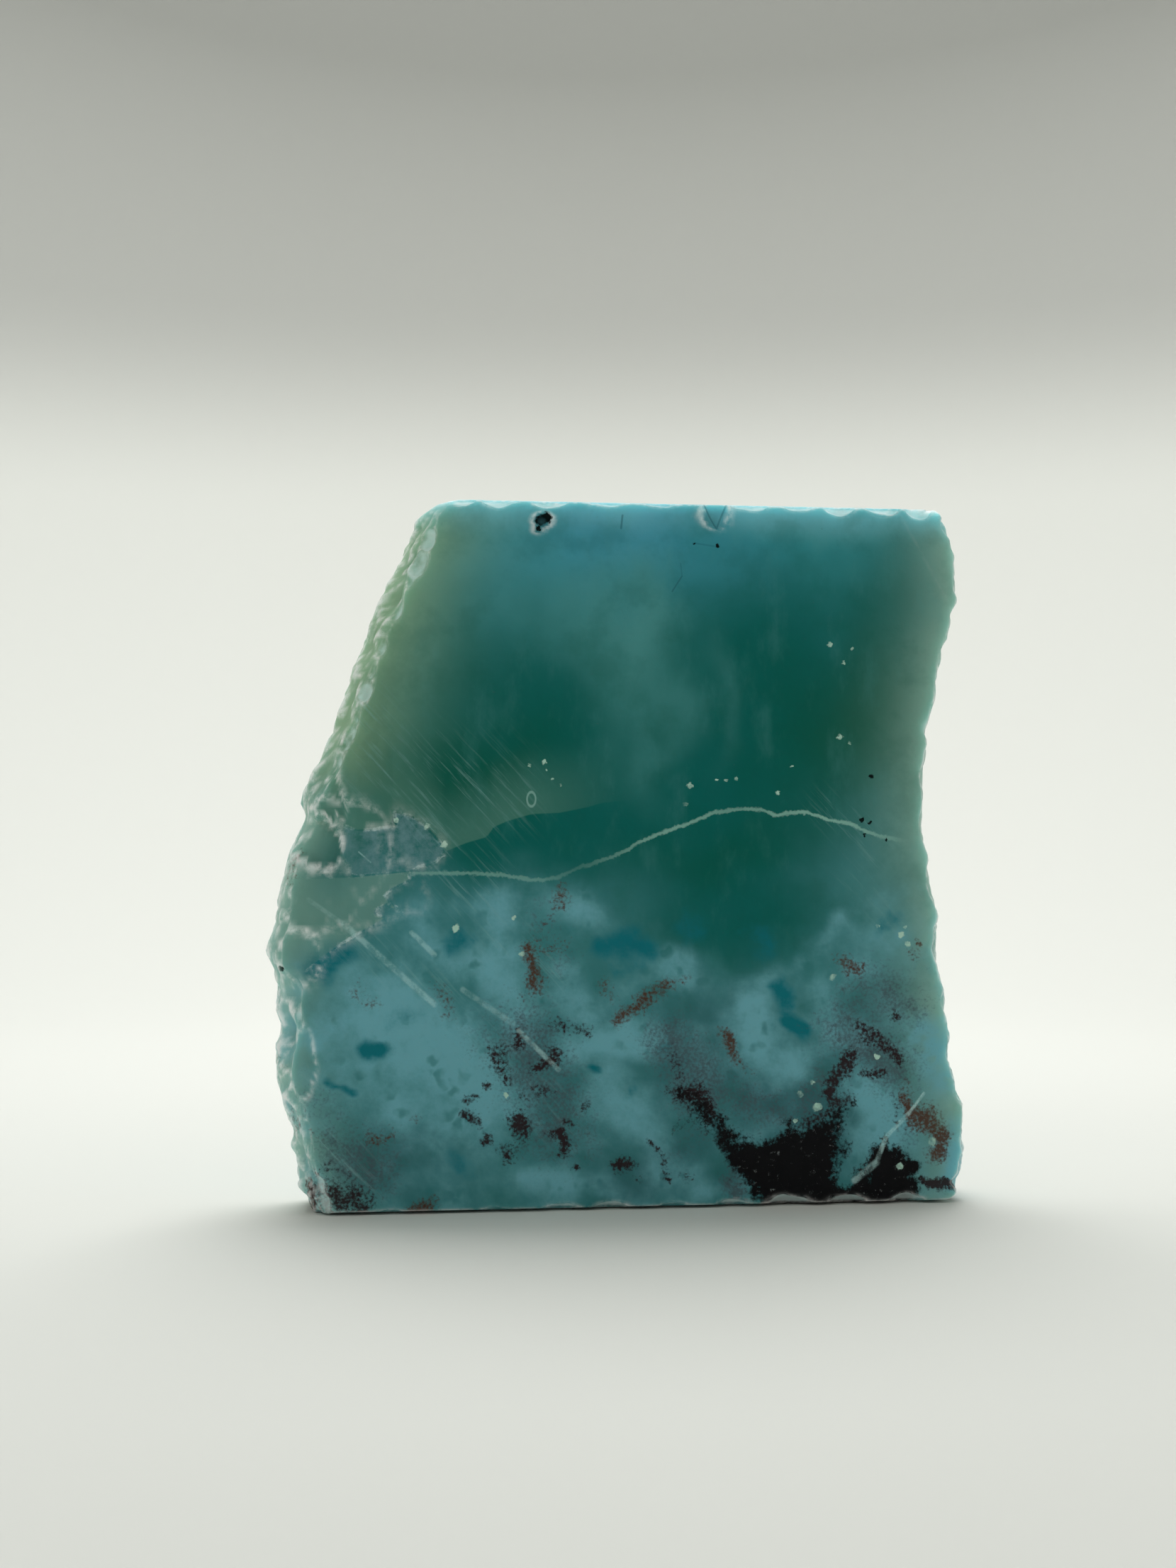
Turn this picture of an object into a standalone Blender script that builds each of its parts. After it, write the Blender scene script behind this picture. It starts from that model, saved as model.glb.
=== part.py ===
"""Rough larimar: one slab of blue pectolite, sawn front, back, top and bottom, broken at the sides.

Metres, +Z up. The sawn front face looks along -Y, and the slab stands on its sawn lower edge.
The origin is on the ground, at the middle of the slab's box.
"""
import math

import bmesh
import bpy
from mathutils import Vector

MM = 0.001

# Driving dimensions
SLAB_WIDTH = 50.1 * MM
SLAB_HEIGHT = 50.0 * MM
SLAB_THICKNESS = 8.0 * MM

HALF_WIDTH = SLAB_WIDTH / 2
HALF_THICKNESS = SLAB_THICKNESS / 2

# The broken left side, from the ground up: height, and how far it lies inside the widest point
LEFT_BREAK = [
    (0.0, 3.2), (1.2, 2.5), (3.4, 2.0), (6.2, 1.55), (8.6, 0.95), (11.0, 0.55), (12.8, 1.0),
    (14.0, 0.7), (16.2, 0.75), (17.0, 0.3), (18.2, 0.0), (20.0, 0.45), (22.6, 0.95),
    (24.7, 1.35), (26.3, 2.1), (27.5, 2.55), (28.4, 2.3), (29.5, 2.6), (31.4, 3.45),
    (33.0, 4.35), (36.4, 5.45), (38.9, 6.4), (41.9, 7.55), (44.1, 8.45), (46.6, 9.8),
    (47.7, 10.1), (49.2, 11.0), (50.0, 12.5),
]

# The broken right side, from the top down
RIGHT_BREAK = [
    (50.0, 2.7), (49.5, 1.85), (48.4, 1.3), (46.0, 1.0), (42.4, 0.95), (40.2, 1.65), (37.0, 2.15),
    (32.4, 2.75), (29.5, 2.95), (26.5, 2.85), (21.5, 2.1), (16.0, 1.55), (11.0, 1.0),
    (8.6, 0.8), (6.4, 0.45), (3.5, 0.3), (1.6, 0.4), (0.5, 0.95), (0.0, 1.95),
]

SHARP_ANGLE = math.radians(35.0)
OUTLINE_STEPS = 3        # straight pieces between two points of the outline
DEPTH_CUTS = 9           # cuts through the thickness of the walls

# How far the walls draw in where they meet the front and back faces
LEFT_ROLL = 1.2 * MM
RIGHT_ROLL = 0.7 * MM
SAWN_ROLL = 0.25 * MM
ROLL_POWER = 4

# The broken walls' relief
LUMP_HEIGHT = 1.5 * MM
LUMP_SIZE = 4.0 * MM
LUMP_MIDDLE = 0.66       # the texture's value that moves nothing, so that the lumps mostly sink
GRIT_HEIGHT = 0.5 * MM
GRIT_SIZE = 1.2 * MM
BREAK_FADE = 1.5 * MM    # the relief fades out over this height next to the sawn edges

SCOOP_DETAIL = 4         # subdivisions of the ball that scoops out a large scar
CHIP_DETAIL = 3          # and of one that makes a small chip

STONE_COLOR = (0.055, 0.19, 0.20, 1.0)
STONE_ROUGHNESS = 0.5

# Chips along the sawn edges: place along the slab, and how wide and deep the chip is, in mm
TOP_FRONT_CHIPS = [
    (-11.6, 2.6, 0.55), (-8.9, 3.0, 0.70), (-5.4, 3.6, 0.60), (-1.2, 3.4, 0.50), (2.6, 3.2, 0.45),
    (9.0, 3.4, 0.60), (12.6, 2.8, 0.50), (15.4, 2.6, 0.75), (18.6, 3.2, 0.65), (21.4, 2.4, 0.85),
]
TOP_BACK_CHIPS = [(-9.5, 4.4, 0.80), (-2.0, 2.8, 0.50), (5.5, 5.0, 0.90), (14.0, 3.2, 0.60)]
BOTTOM_FRONT_CHIPS = [
    (-16.5, 2.6, 0.35), (-9.0, 2.4, 0.35), (-4.6, 3.0, 0.50), (-1.0, 3.0, 0.60), (3.4, 2.6, 0.45),
    (7.6, 2.8, 0.55), (11.8, 3.4, 0.75), (16.0, 3.4, 0.70), (20.4, 3.0, 0.75),
]
BOTTOM_BACK_CHIPS = [(-15.0, 3.6, 0.60), (-6.0, 2.6, 0.45), (9.0, 3.8, 0.70), (18.5, 2.8, 0.50)]

# Scars in a sawn face: centre x and z, radii along x and z, and depth, in mm
FRONT_SCARS = [
    (-22.6, 24.6, 6.6, 4.6, 0.75),       # the large flake broken off at the left edge
    (-18.6, 22.6, 4.6, 2.4, 0.22),       # its thin outer step
    (-23.6, 18.0, 2.6, 2.0, 0.45),
    (-23.4, 10.6, 1.8, 3.2, 0.50),
    (6.5, 49.0, 0.95, 1.25, 0.45),       # the notch in the top edge
    (-5.8, 48.45, 0.62, 0.55, 0.70),     # the small dark pit
    (-6.1, 47.9, 0.34, 0.40, 0.40),      # and its tail
]
BACK_SCARS = [
    (-19.0, 33.0, 6.0, 4.6, 0.80),
    (21.6, 30.5, 4.8, 7.0, 0.70),
    (-20.5, 9.0, 4.2, 5.2, 0.55),
    (9.0, 47.5, 4.2, 3.6, 0.50),
]

SCAR_SUNK = 0.5          # part of a ball's depth radius that dips into the stone
LARGE_SCAR = 1.5         # a scar wider than this, in mm, has small steps of its own
SCAR_RELIEF = 0.9
SCAR_RELIEF_SIZE = 2.2 * MM

# The flat facet across the upper right corner of the front face
FACET_TOP_X = 19.6 * MM
FACET_RUN = Vector((2.95 * MM, 0.0, -5.2 * MM))
FACET_SLOPE = math.radians(8.0)
FACET_BLOCK = 12.0 * MM


def new_collection(name):
    collection = bpy.data.collections.new(name)
    bpy.context.scene.collection.children.link(collection)
    return collection


def add_object(name, mesh, collection):
    obj = bpy.data.objects.new(name, mesh)
    collection.objects.link(obj)
    return obj


def outline_points():
    """The outline as (x, z) in metres, up the left side and down the right one."""
    left = [(-HALF_WIDTH + inset * MM, height * MM) for height, inset in LEFT_BREAK]
    right = [(HALF_WIDTH - inset * MM, height * MM) for height, inset in RIGHT_BREAK]
    return left + right


def outline_curve(collection):
    """A flat closed curve of the outline, as thick as the slab, standing in the XZ plane."""
    curve = bpy.data.curves.new("slab_outline", 'CURVE')
    curve.dimensions = '2D'
    curve.fill_mode = 'BOTH'
    curve.extrude = HALF_THICKNESS
    curve.resolution_u = OUTLINE_STEPS
    points = outline_points()
    spline = curve.splines.new('BEZIER')
    spline.bezier_points.add(len(points) - 1)
    spline.use_cyclic_u = True
    for point, (x, z) in zip(spline.bezier_points, points):
        point.co = (x, z, 0)
        point.handle_left_type = 'AUTO'
        point.handle_right_type = 'AUTO'
    # The sawn edges are straight: bottom between the last and the first point, top in the middle
    left_end = len(LEFT_BREAK) - 1
    for index, side in ((0, 'left'), (left_end, 'right'), (left_end + 1, 'left'), (-1, 'right')):
        setattr(spline.bezier_points[index], f"handle_{side}_type", 'VECTOR')
    obj = add_object("slab_outline", curve, collection)
    obj.rotation_euler = (math.pi / 2, 0, 0)
    return obj


def mesh_from_curve(curve_object):
    """The curve's mesh in world space, with its loose caps welded on."""
    bpy.context.view_layer.update()
    graph = bpy.context.evaluated_depsgraph_get()
    mesh = bpy.data.meshes.new_from_object(curve_object.evaluated_get(graph))
    mesh.transform(curve_object.matrix_world)
    bm = bmesh.new()
    bm.from_mesh(mesh)
    bmesh.ops.remove_doubles(bm, verts=bm.verts, dist=0.01 * MM)
    bmesh.ops.recalc_face_normals(bm, faces=bm.faces)
    bm.to_mesh(mesh)
    bm.free()
    bpy.data.objects.remove(curve_object)
    return mesh


def cut_walls_into_rows(bm):
    """Make each sawn face one polygon, and the walls rows of small faces."""
    sawn = [face for face in bm.faces if abs(face.normal.y) > 0.9]
    bmesh.ops.dissolve_faces(bm, faces=sawn)
    across = [edge for edge in bm.edges if abs(edge.verts[0].co.y - edge.verts[1].co.y) > MM]
    bmesh.ops.subdivide_edges(bm, edges=across, cuts=DEPTH_CUTS)


def outward_in_plane(vertex):
    """The wall's outward direction at a vertex, with no part along the thickness."""
    total = Vector((0, 0, 0))
    for face in vertex.link_faces:
        if abs(face.normal.y) < 0.9:
            total += face.normal
    total.y = 0
    return total.normalized()


def roll_off(direction):
    """How far the wall draws in at the rim: most on the broken left side, least where sawn."""
    if abs(direction.z) > 0.9:
        return SAWN_ROLL
    return LEFT_ROLL if direction.x < 0 else RIGHT_ROLL


def round_walls(bm):
    """Draw the walls in towards both faces, so that they bulge at the middle of the thickness."""
    bm.normal_update()
    outward = {vertex: outward_in_plane(vertex) for vertex in bm.verts}
    for vertex, direction in outward.items():
        depth = abs(vertex.co.y) / HALF_THICKNESS
        on_ground = vertex.co.z < 0.01 * MM
        amount = roll_off(direction) * depth ** ROLL_POWER
        vertex.co -= direction * amount
        if on_ground and depth < 0.99:
            vertex.co.z = 0.0


def break_weight(co):
    """1 on a broken wall half way through the thickness, 0 at its rims and on the sawn edges."""
    depth = abs(co.y) / HALF_THICKNESS
    from_sawn_edge = min(co.z, SLAB_HEIGHT - co.z)
    return min(1.0, from_sawn_edge / BREAK_FADE) * (1 - depth ** 6)


def add_relief(obj, name, height, size, basis, middle=0.5, group=""):
    """A Displace modifier that moves a surface by a cloud texture, which leaves it where the
    texture has the middle value."""
    texture = bpy.data.textures.new(name, 'CLOUDS')
    texture.noise_basis = basis
    texture.noise_scale = size
    relief = obj.modifiers.new(name, 'DISPLACE')
    relief.texture = texture
    relief.texture_coords = 'LOCAL'
    relief.vertex_group = group
    relief.strength = height
    relief.mid_level = middle


def make_slab(collection):
    """The slab before its chips and scars are cut."""
    mesh = mesh_from_curve(outline_curve(collection))
    bm = bmesh.new()
    bm.from_mesh(mesh)
    cut_walls_into_rows(bm)
    round_walls(bm)
    bm.to_mesh(mesh)
    bm.free()
    mesh.shade_smooth()
    mesh.set_sharp_from_angle(angle=SHARP_ANGLE)
    mesh.name = "larimar_slab"
    slab = add_object("larimar_slab", mesh, collection)
    broken = slab.vertex_groups.new(name="broken")
    for vertex in mesh.vertices:
        broken.add([vertex.index], break_weight(vertex.co), 'REPLACE')
    add_relief(slab, "lumps", LUMP_HEIGHT, LUMP_SIZE, 'VORONOI_F1', LUMP_MIDDLE, "broken")
    add_relief(slab, "grit", GRIT_HEIGHT, GRIT_SIZE, 'BLENDER_ORIGINAL', group="broken")
    return slab


def add_cutter(name, bm, collection):
    mesh = bpy.data.meshes.new(name)
    bm.to_mesh(mesh)
    bm.free()
    cutter = add_object(name, mesh, collection)
    cutter.hide_render = True
    cutter.display_type = 'WIRE'
    return cutter


def scoop(name, center, radii, detail, collection):
    """A ball with three radii, which leaves a shallow bowl where it dips into the stone."""
    bm = bmesh.new()
    bmesh.ops.create_icosphere(bm, subdivisions=detail, radius=1.0)
    bmesh.ops.scale(bm, vec=radii, verts=bm.verts)
    bmesh.ops.translate(bm, vec=center, verts=bm.verts)
    return add_cutter(name, bm, collection)


def cut_scars(scars, facing, name, collection):
    """Rough bowls in a sawn face: each ball is sunk by half of its depth radius."""
    for number, (x, z, radius_x, radius_z, depth) in enumerate(scars):
        bowl = depth / SCAR_SUNK
        center = Vector((x, facing * (bowl - depth), z)) * MM
        center.y += facing * HALF_THICKNESS
        # The ball's widest section is above the face, so its radii grow to keep the scar's size
        widen = 1 / math.sqrt(1 - (1 - SCAR_SUNK) ** 2)
        radii = (radius_x * MM * widen, bowl * MM, radius_z * MM * widen)
        large = radius_x > LARGE_SCAR
        cutter = scoop(f"{name}_{number}", center, radii, SCOOP_DETAIL if large else CHIP_DETAIL,
                       collection)
        if large:
            add_relief(cutter, f"{name}_{number}_steps", SCAR_RELIEF * depth * MM,
                       SCAR_RELIEF_SIZE, 'VORONOI_F1')


def chip_edge(chips, facing, edge_z, name, collection):
    """Bowls that bite the edge between a sawn face and the slab's top or bottom."""
    for number, (x, width, depth) in enumerate(chips):
        radius = depth * MM * 2
        reach = depth * MM / math.sqrt(2)
        outward_z = 1 if edge_z > HALF_THICKNESS else -1
        center = (x * MM, facing * (HALF_THICKNESS + reach), edge_z + outward_z * reach)
        scoop(f"{name}_{number}", center, (width / 2 * MM * 1.3, radius, radius), CHIP_DETAIL,
              collection)


def cut_corner_facet(collection):
    """A block whose one face slices the upper right corner of the front at a shallow slope."""
    bm = bmesh.new()
    bmesh.ops.create_cube(bm, size=FACET_BLOCK)
    half = FACET_BLOCK / 2
    bmesh.ops.translate(bm, vec=(half, -half, 0), verts=bm.verts)
    cutter = add_cutter("corner_facet", bm, collection)
    start = Vector((FACET_TOP_X, -HALF_THICKNESS, SLAB_HEIGHT))
    along = FACET_RUN.normalized()
    cutter.location = start + FACET_RUN / 2
    lean = math.atan2(along.x, -along.z)
    cutter.rotation_euler = (0, -lean, 0)
    cutter.rotation_euler.rotate_axis('Z', FACET_SLOPE)


def cut_all(slab, cutters):
    """One exact Boolean takes every cutter out of the slab."""
    cut = slab.modifiers.new("chips_and_scars", 'BOOLEAN')
    cut.operation = 'DIFFERENCE'
    cut.operand_type = 'COLLECTION'
    cut.collection = cutters
    cut.solver = 'EXACT'


def stone_material():
    material = bpy.data.materials.new("larimar")
    material.use_nodes = True
    shader = material.node_tree.nodes["Principled BSDF"]
    shader.inputs["Base Color"].default_value = STONE_COLOR
    shader.inputs["Roughness"].default_value = STONE_ROUGHNESS
    shader.inputs["Metallic"].default_value = 0.0
    return material


def main():
    for obj in list(bpy.data.objects):
        bpy.data.objects.remove(obj)
    stone = new_collection("rough_larimar")
    cutters = new_collection("cutters")
    slab = make_slab(stone)
    slab.data.materials.append(stone_material())
    cut_scars(FRONT_SCARS, -1, "front_scar", cutters)
    cut_scars(BACK_SCARS, 1, "back_scar", cutters)
    chip_edge(TOP_FRONT_CHIPS, -1, SLAB_HEIGHT, "top_front_chip", cutters)
    chip_edge(TOP_BACK_CHIPS, 1, SLAB_HEIGHT, "top_back_chip", cutters)
    chip_edge(BOTTOM_FRONT_CHIPS, -1, 0.0, "bottom_front_chip", cutters)
    chip_edge(BOTTOM_BACK_CHIPS, 1, 0.0, "bottom_back_chip", cutters)
    cut_corner_facet(cutters)
    cut_all(slab, cutters)


main()
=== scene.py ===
"""Rough larimar: the sawn and broken slab's surface, its stone, and a plain studio round it.

The frame is in metres, +Z up, with the sawn front face looking along -Y. The places and lengths of
marks on the stone are in millimetres in that same frame.
"""
import itertools
import math

import bpy
import numpy as np
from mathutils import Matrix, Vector


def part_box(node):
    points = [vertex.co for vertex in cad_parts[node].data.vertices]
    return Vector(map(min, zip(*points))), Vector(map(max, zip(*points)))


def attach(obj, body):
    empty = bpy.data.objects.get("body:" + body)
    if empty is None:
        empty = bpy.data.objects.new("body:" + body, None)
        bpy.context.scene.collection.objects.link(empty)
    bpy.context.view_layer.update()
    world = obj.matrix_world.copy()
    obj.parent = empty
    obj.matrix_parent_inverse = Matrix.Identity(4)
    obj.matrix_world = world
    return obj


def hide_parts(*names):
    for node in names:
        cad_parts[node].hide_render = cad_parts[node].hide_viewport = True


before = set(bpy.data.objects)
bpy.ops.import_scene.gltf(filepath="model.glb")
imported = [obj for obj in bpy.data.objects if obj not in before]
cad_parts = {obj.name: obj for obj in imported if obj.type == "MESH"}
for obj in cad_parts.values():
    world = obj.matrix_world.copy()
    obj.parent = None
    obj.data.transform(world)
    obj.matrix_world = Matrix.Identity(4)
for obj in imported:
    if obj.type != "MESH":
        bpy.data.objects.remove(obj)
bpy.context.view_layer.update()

bl_info = {
    "name": "Larimar slab",
    "version": (1, 0, 0),
    "blender": (4, 5, 0),
    "location": "3D View > Sidebar > Larimar",
    "description": "Builds a rough larimar slab from its frame, with its stone and a plain studio",
    "category": "Add Mesh",
}

MM = 0.001
NODE = "larimar_slab"
BODY = "root"

# The frame's box, read before anything is added to it
SLAB_LOW, SLAB_HIGH = (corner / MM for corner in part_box(NODE))
LEFT_SIDE = SLAB_LOW.x
RIGHT_SIDE = SLAB_HIGH.x
SLAB_TOP = SLAB_HIGH.z
HALF_DEPTH = SLAB_HIGH.y

# The photograph's frame in pixels, and the row where its horizon was read
PHOTO_WIDTH = 1659
PHOTO_HEIGHT = 2212
HORIZON_ROW = 1200

# Share of the studio's light that the front face sends to the camera
FRONT_LIGHT = 0.42


def screen_tone(red, green, blue):
    """The stone's own colour where the studio should show these screen values, from 0 to 255."""
    shown = np.array((red, green, blue)) / 255.0
    linear = np.where(shown > 0.04045, ((shown + 0.055) / 1.055) ** 2.4, shown / 12.92)
    return tuple(float(value) for value in np.clip(linear / FRONT_LIGHT, 0.0, 1.0))


# The broken left side, from the ground up: height, and how far it lies inside the widest point
LEFT_BREAK = (
    (0.0, 3.2), (1.2, 2.5), (3.4, 2.0), (6.2, 1.55), (8.6, 0.95), (11.0, 0.55), (12.8, 1.0),
    (14.0, 0.7), (16.2, 0.75), (17.0, 0.3), (18.2, 0.0), (20.0, 0.45), (22.6, 0.95),
    (24.7, 1.35), (26.3, 2.1), (27.5, 2.55), (28.4, 2.3), (29.5, 2.6), (31.4, 3.45),
    (33.0, 4.35), (36.4, 5.45), (38.9, 6.4), (41.9, 7.55), (44.1, 8.45), (46.6, 9.8),
    (47.7, 10.1), (49.2, 11.0), (50.0, 12.5),
)

# The broken right side in the same way
RIGHT_BREAK = (
    (0.0, 1.95), (0.5, 0.85), (1.6, 0.2), (3.5, 0.0), (6.4, 0.2), (8.6, 0.6), (11.0, 0.9),
    (16.0, 1.5), (21.5, 2.0), (26.5, 2.75), (29.5, 2.85), (32.4, 2.65), (37.0, 2.05),
    (40.2, 1.5), (42.4, 0.85), (46.0, 0.9), (48.4, 1.2), (49.5, 1.75), (50.0, 2.6),
)

# Chips along the sawn edges: place along the slab, and how wide and deep the chip is
SAWN_CHIPS = {
    "top front": (
        (-11.6, 2.6, 0.55), (-8.9, 3.0, 0.70), (-5.4, 3.6, 0.60), (-1.2, 3.4, 0.50),
        (2.6, 3.2, 0.45), (9.0, 3.4, 0.60), (12.6, 2.8, 0.50), (15.4, 2.6, 0.75),
        (18.6, 3.2, 0.65), (21.4, 2.4, 0.85),
    ),
    "top back": ((-9.5, 4.4, 0.80), (-2.0, 2.8, 0.50), (5.5, 5.0, 0.90), (14.0, 3.2, 0.60)),
    "bottom front": (
        (-16.5, 2.6, 0.35), (-9.0, 2.4, 0.35), (-4.6, 3.0, 0.50), (-1.0, 3.0, 0.60),
        (3.4, 2.6, 0.45), (7.6, 2.8, 0.55), (11.8, 3.4, 0.75), (16.0, 3.4, 0.70),
        (20.4, 3.0, 0.75),
    ),
    "bottom back": ((-15.0, 3.6, 0.60), (-6.0, 2.6, 0.45), (9.0, 3.8, 0.70), (18.5, 2.8, 0.50)),
}

# Scars in a sawn face: centre x and z, radii along x and z, and depth
FRONT_SCARS = (
    (-22.6, 24.6, 6.6, 4.6, 0.75),
    (-18.6, 22.6, 4.6, 2.4, 0.22),
    (-23.6, 18.0, 2.6, 2.0, 0.45),
    (-23.4, 10.6, 1.8, 3.2, 0.50),
    (6.5, 49.4, 0.95, 1.5, 0.45),
    (-5.8, 48.45, 0.62, 0.55, 0.70),
    (-6.1, 47.9, 0.34, 0.40, 0.40),
)
BACK_SCARS = (
    (-19.0, 33.0, 6.0, 4.6, 0.80),
    (21.6, 30.5, 4.8, 7.0, 0.70),
    (-20.5, 9.0, 4.2, 5.2, 0.55),
    (9.0, 47.5, 4.2, 3.6, 0.50),
)
# A scooping ball's centre lies outside the stone by this share of its radius
SCOOP_SUNK = 0.5

# Each rim runs along the axis where its sign is 0; the others say which side of the slab it is on
RIMS = {
    "top front": (0, -1, 1),
    "top back": (0, 1, 1),
    "bottom front": (0, -1, -1),
    "bottom back": (0, 1, -1),
    "left front": (-1, -1, 0),
    "left back": (-1, 1, 0),
    "right front": (1, -1, 0),
    "right back": (1, 1, 0),
    "left top": (-1, 0, 1),
    "right top": (1, 0, 1),
    "left bottom": (-1, 0, -1),
    "right bottom": (1, 0, -1),
}

# Small chips strewn along each rim: how many, and the widest and deepest
STREWN_CHIPS = {
    "top front": (110, 1.4, 0.24),
    "top back": (60, 1.8, 0.30),
    "bottom front": (56, 1.5, 0.24),
    "bottom back": (40, 1.6, 0.34),
    "left front": (70, 2.4, 0.55),
    "left back": (60, 2.6, 0.55),
    "right front": (54, 2.0, 0.40),
    "right back": (50, 2.2, 0.45),
    "left top": (9, 1.6, 0.50),
    "right top": (9, 1.6, 0.50),
    "left bottom": (8, 1.4, 0.40),
    "right bottom": (8, 1.4, 0.40),
}

# The facet across the upper right front corner: where it starts in the top edge, the way it runs
# down the face, and how steeply it leans back
FACET_START = (19.6, 50.0)
FACET_RUN = (2.95, -5.2)
FACET_SLOPE = math.radians(8.0)

# The stepped break at the left edge: outlines of its thin plates on the front face
PLATE = (
    (-19.6, 27.0), (-18.7, 26.7), (-17.4, 26.8), (-16.3, 27.0), (-16.0, 26.7), (-16.2, 28.0),
    (-15.0, 27.7), (-14.0, 27.0), (-13.5, 26.4), (-12.9, 25.8), (-12.6, 25.2), (-13.4, 24.4),
    (-14.5, 24.2), (-14.8, 23.9), (-17.0, 23.7), (-19.2, 23.5), (-19.2, 24.2), (-19.6, 24.6),
    (-19.8, 25.1), (-20.0, 26.3),
)
LOBE = (
    (-14.8, 23.9), (-15.2, 23.2), (-16.4, 22.6), (-16.9, 22.1), (-16.3, 21.6), (-15.4, 20.8),
    (-16.2, 21.2), (-16.7, 21.5), (-17.4, 21.3), (-17.6, 20.8), (-16.5, 20.8), (-17.4, 20.2),
    (-18.6, 19.6), (-19.9, 18.8), (-21.1, 17.9), (-22.3, 16.9), (-26.0, 16.0), (-26.0, 23.4),
    (-21.8, 23.4), (-18.9, 23.5), (-16.0, 23.8),
)
# The lower edge of the pale veil above the vein; it fades upwards and to the right
VEIL_EDGE = (
    (-26.0, 27.6), (-19.6, 27.0), (-18.7, 26.7), (-17.4, 26.8), (-16.3, 27.1), (-16.2, 28.0),
    (-15.0, 27.7), (-14.0, 27.0), (-13.4, 26.4), (-12.9, 25.8), (-12.6, 25.2), (-11.1, 25.8),
    (-9.7, 26.2), (-9.2, 26.9), (-8.3, 27.3), (-6.6, 27.8), (-4.6, 27.9), (-2.6, 28.3),
    (-1.6, 28.6), (6.0, 29.4),
)
VEIL_CLOSE = ((6.0, 60.0), (-26.0, 60.0))
HOLLOW = (
    (-23.6, 27.2), (-21.1, 27.4), (-20.4, 26.8), (-20.0, 26.3), (-19.8, 25.1), (-20.4, 24.3),
    (-21.1, 24.2), (-22.1, 24.6), (-22.8, 25.1), (-25.5, 25.6),
)
RIM_BEVEL = (
    (-22.5, 36.0), (-20.8, 33.1), (-20.4, 31.2), (-20.0, 29.5), (-19.6, 28.5), (-19.6, 27.6),
    (-20.2, 28.0), (-20.3, 27.3), (-20.9, 28.0), (-26.0, 28.5),
)

# The black mass at the lower right
MATRIX = (
    (4.2, 8.5), (5.3, 8.0), (6.0, 6.7), (7.6, 6.0), (8.6, 4.6), (9.9, 4.8), (10.9, 5.2),
    (11.2, 5.8), (12.7, 5.6), (14.2, 6.1), (15.5, 7.2), (16.3, 7.1), (16.1, 6.1), (15.4, 5.2),
    (15.9, 4.0), (15.4, 2.5), (16.1, 1.4), (17.1, 2.0), (17.6, 3.6), (18.4, 4.6), (19.7, 4.2),
    (21.5, 2.9), (21.0, 1.9), (21.5, 0.9), (21.2, -1.5), (10.4, -1.5), (9.9, 0.6), (8.6, 1.9),
    (7.6, 3.2), (6.5, 5.2), (5.0, 6.3), (3.5, 5.9), (4.6, 6.7), (4.9, 7.3),
)

# The pale vein across the front: place along the slab, height, and how clearly it shows
VEIN = (
    (-15.0, 23.7, 0.5), (-12.0, 23.7, 0.6), (-9.1, 23.6, 0.6), (-6.4, 23.3, 0.5),
    (-4.7, 23.4, 0.3), (-3.3, 24.1, 0.2), (-1.9, 24.5, 0.35), (-0.5, 25.05, 0.5),
    (1.2, 25.95, 0.8), (3.0, 26.7, 0.9), (4.35, 27.15, 0.9), (5.6, 27.7, 0.9), (7.3, 28.1, 0.7),
    (9.8, 28.2, 0.8), (10.9, 27.8, 1.0), (11.6, 27.9, 0.9), (13.0, 28.0, 1.0), (14.65, 27.5, 1.0),
    (16.5, 27.1, 0.9), (17.3, 26.7, 0.8), (19.0, 26.2, 0.5), (20.5, 26.0, 0.0),
)

# Top of the milky part of the stone: place along the slab and height
MILK_TOP = (
    (-26.0, 21.0), (-19.0, 19.5), (-14.0, 22.5), (-9.0, 23.0), (-5.0, 23.6), (-1.0, 21.5),
    (5.0, 17.5), (9.0, 17.0), (12.0, 18.5), (15.0, 20.0), (18.0, 22.5), (21.0, 22.0), (26.0, 22.0),
)

# Pale clouds in the milky part: from x and z, to x and z, half width and strength
MILK_CLOUDS = (
    (-16.5, 13.6, -12.0, 10.5, 3.0, 1.0),
    (-12.0, 10.5, -10.5, 8.0, 2.2, 0.9),
    (-20.5, 13.8, -18.5, 13.0, 1.8, 0.45),
    (-13.5, 18.6, -9.5, 17.0, 1.6, 0.55),
    (-9.5, 17.0, -7.6, 14.0, 1.5, 0.9),
    (-9.0, 21.5, -8.6, 18.0, 1.2, 0.6),
    (-4.2, 17.0, -2.6, 13.6, 1.2, 0.6),
    (-3.6, 11.2, 1.6, 11.9, 1.4, 0.8),
    (-1.2, 9.6, 0.6, 6.0, 1.7, 0.7),
    (-3.2, 20.6, 2.0, 20.4, 1.1, 0.5),
    (3.6, 17.4, 9.6, 16.4, 1.5, 0.8),
    (8.5, 16.0, 9.5, 11.6, 1.6, 0.85),
    (10.0, 10.5, 12.4, 9.6, 1.2, 0.6),
    (12.6, 17.8, 15.4, 20.8, 0.9, 0.55),
    (14.0, 15.6, 15.0, 12.6, 1.1, 0.55),
    (17.6, 7.8, 19.0, 5.2, 1.6, 1.0),
    (21.6, 12.0, 22.6, 8.4, 1.3, 0.5),
    (24.0, 3.6, 23.8, 1.8, 0.9, 0.8),
    (-15.6, 7.6, -11.6, 6.8, 1.7, 0.75),
    (-6.5, 2.2, -1.0, 1.6, 1.0, 0.45),
    (5.4, 1.2, 7.4, 1.4, 0.7, 0.4),
)

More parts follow.
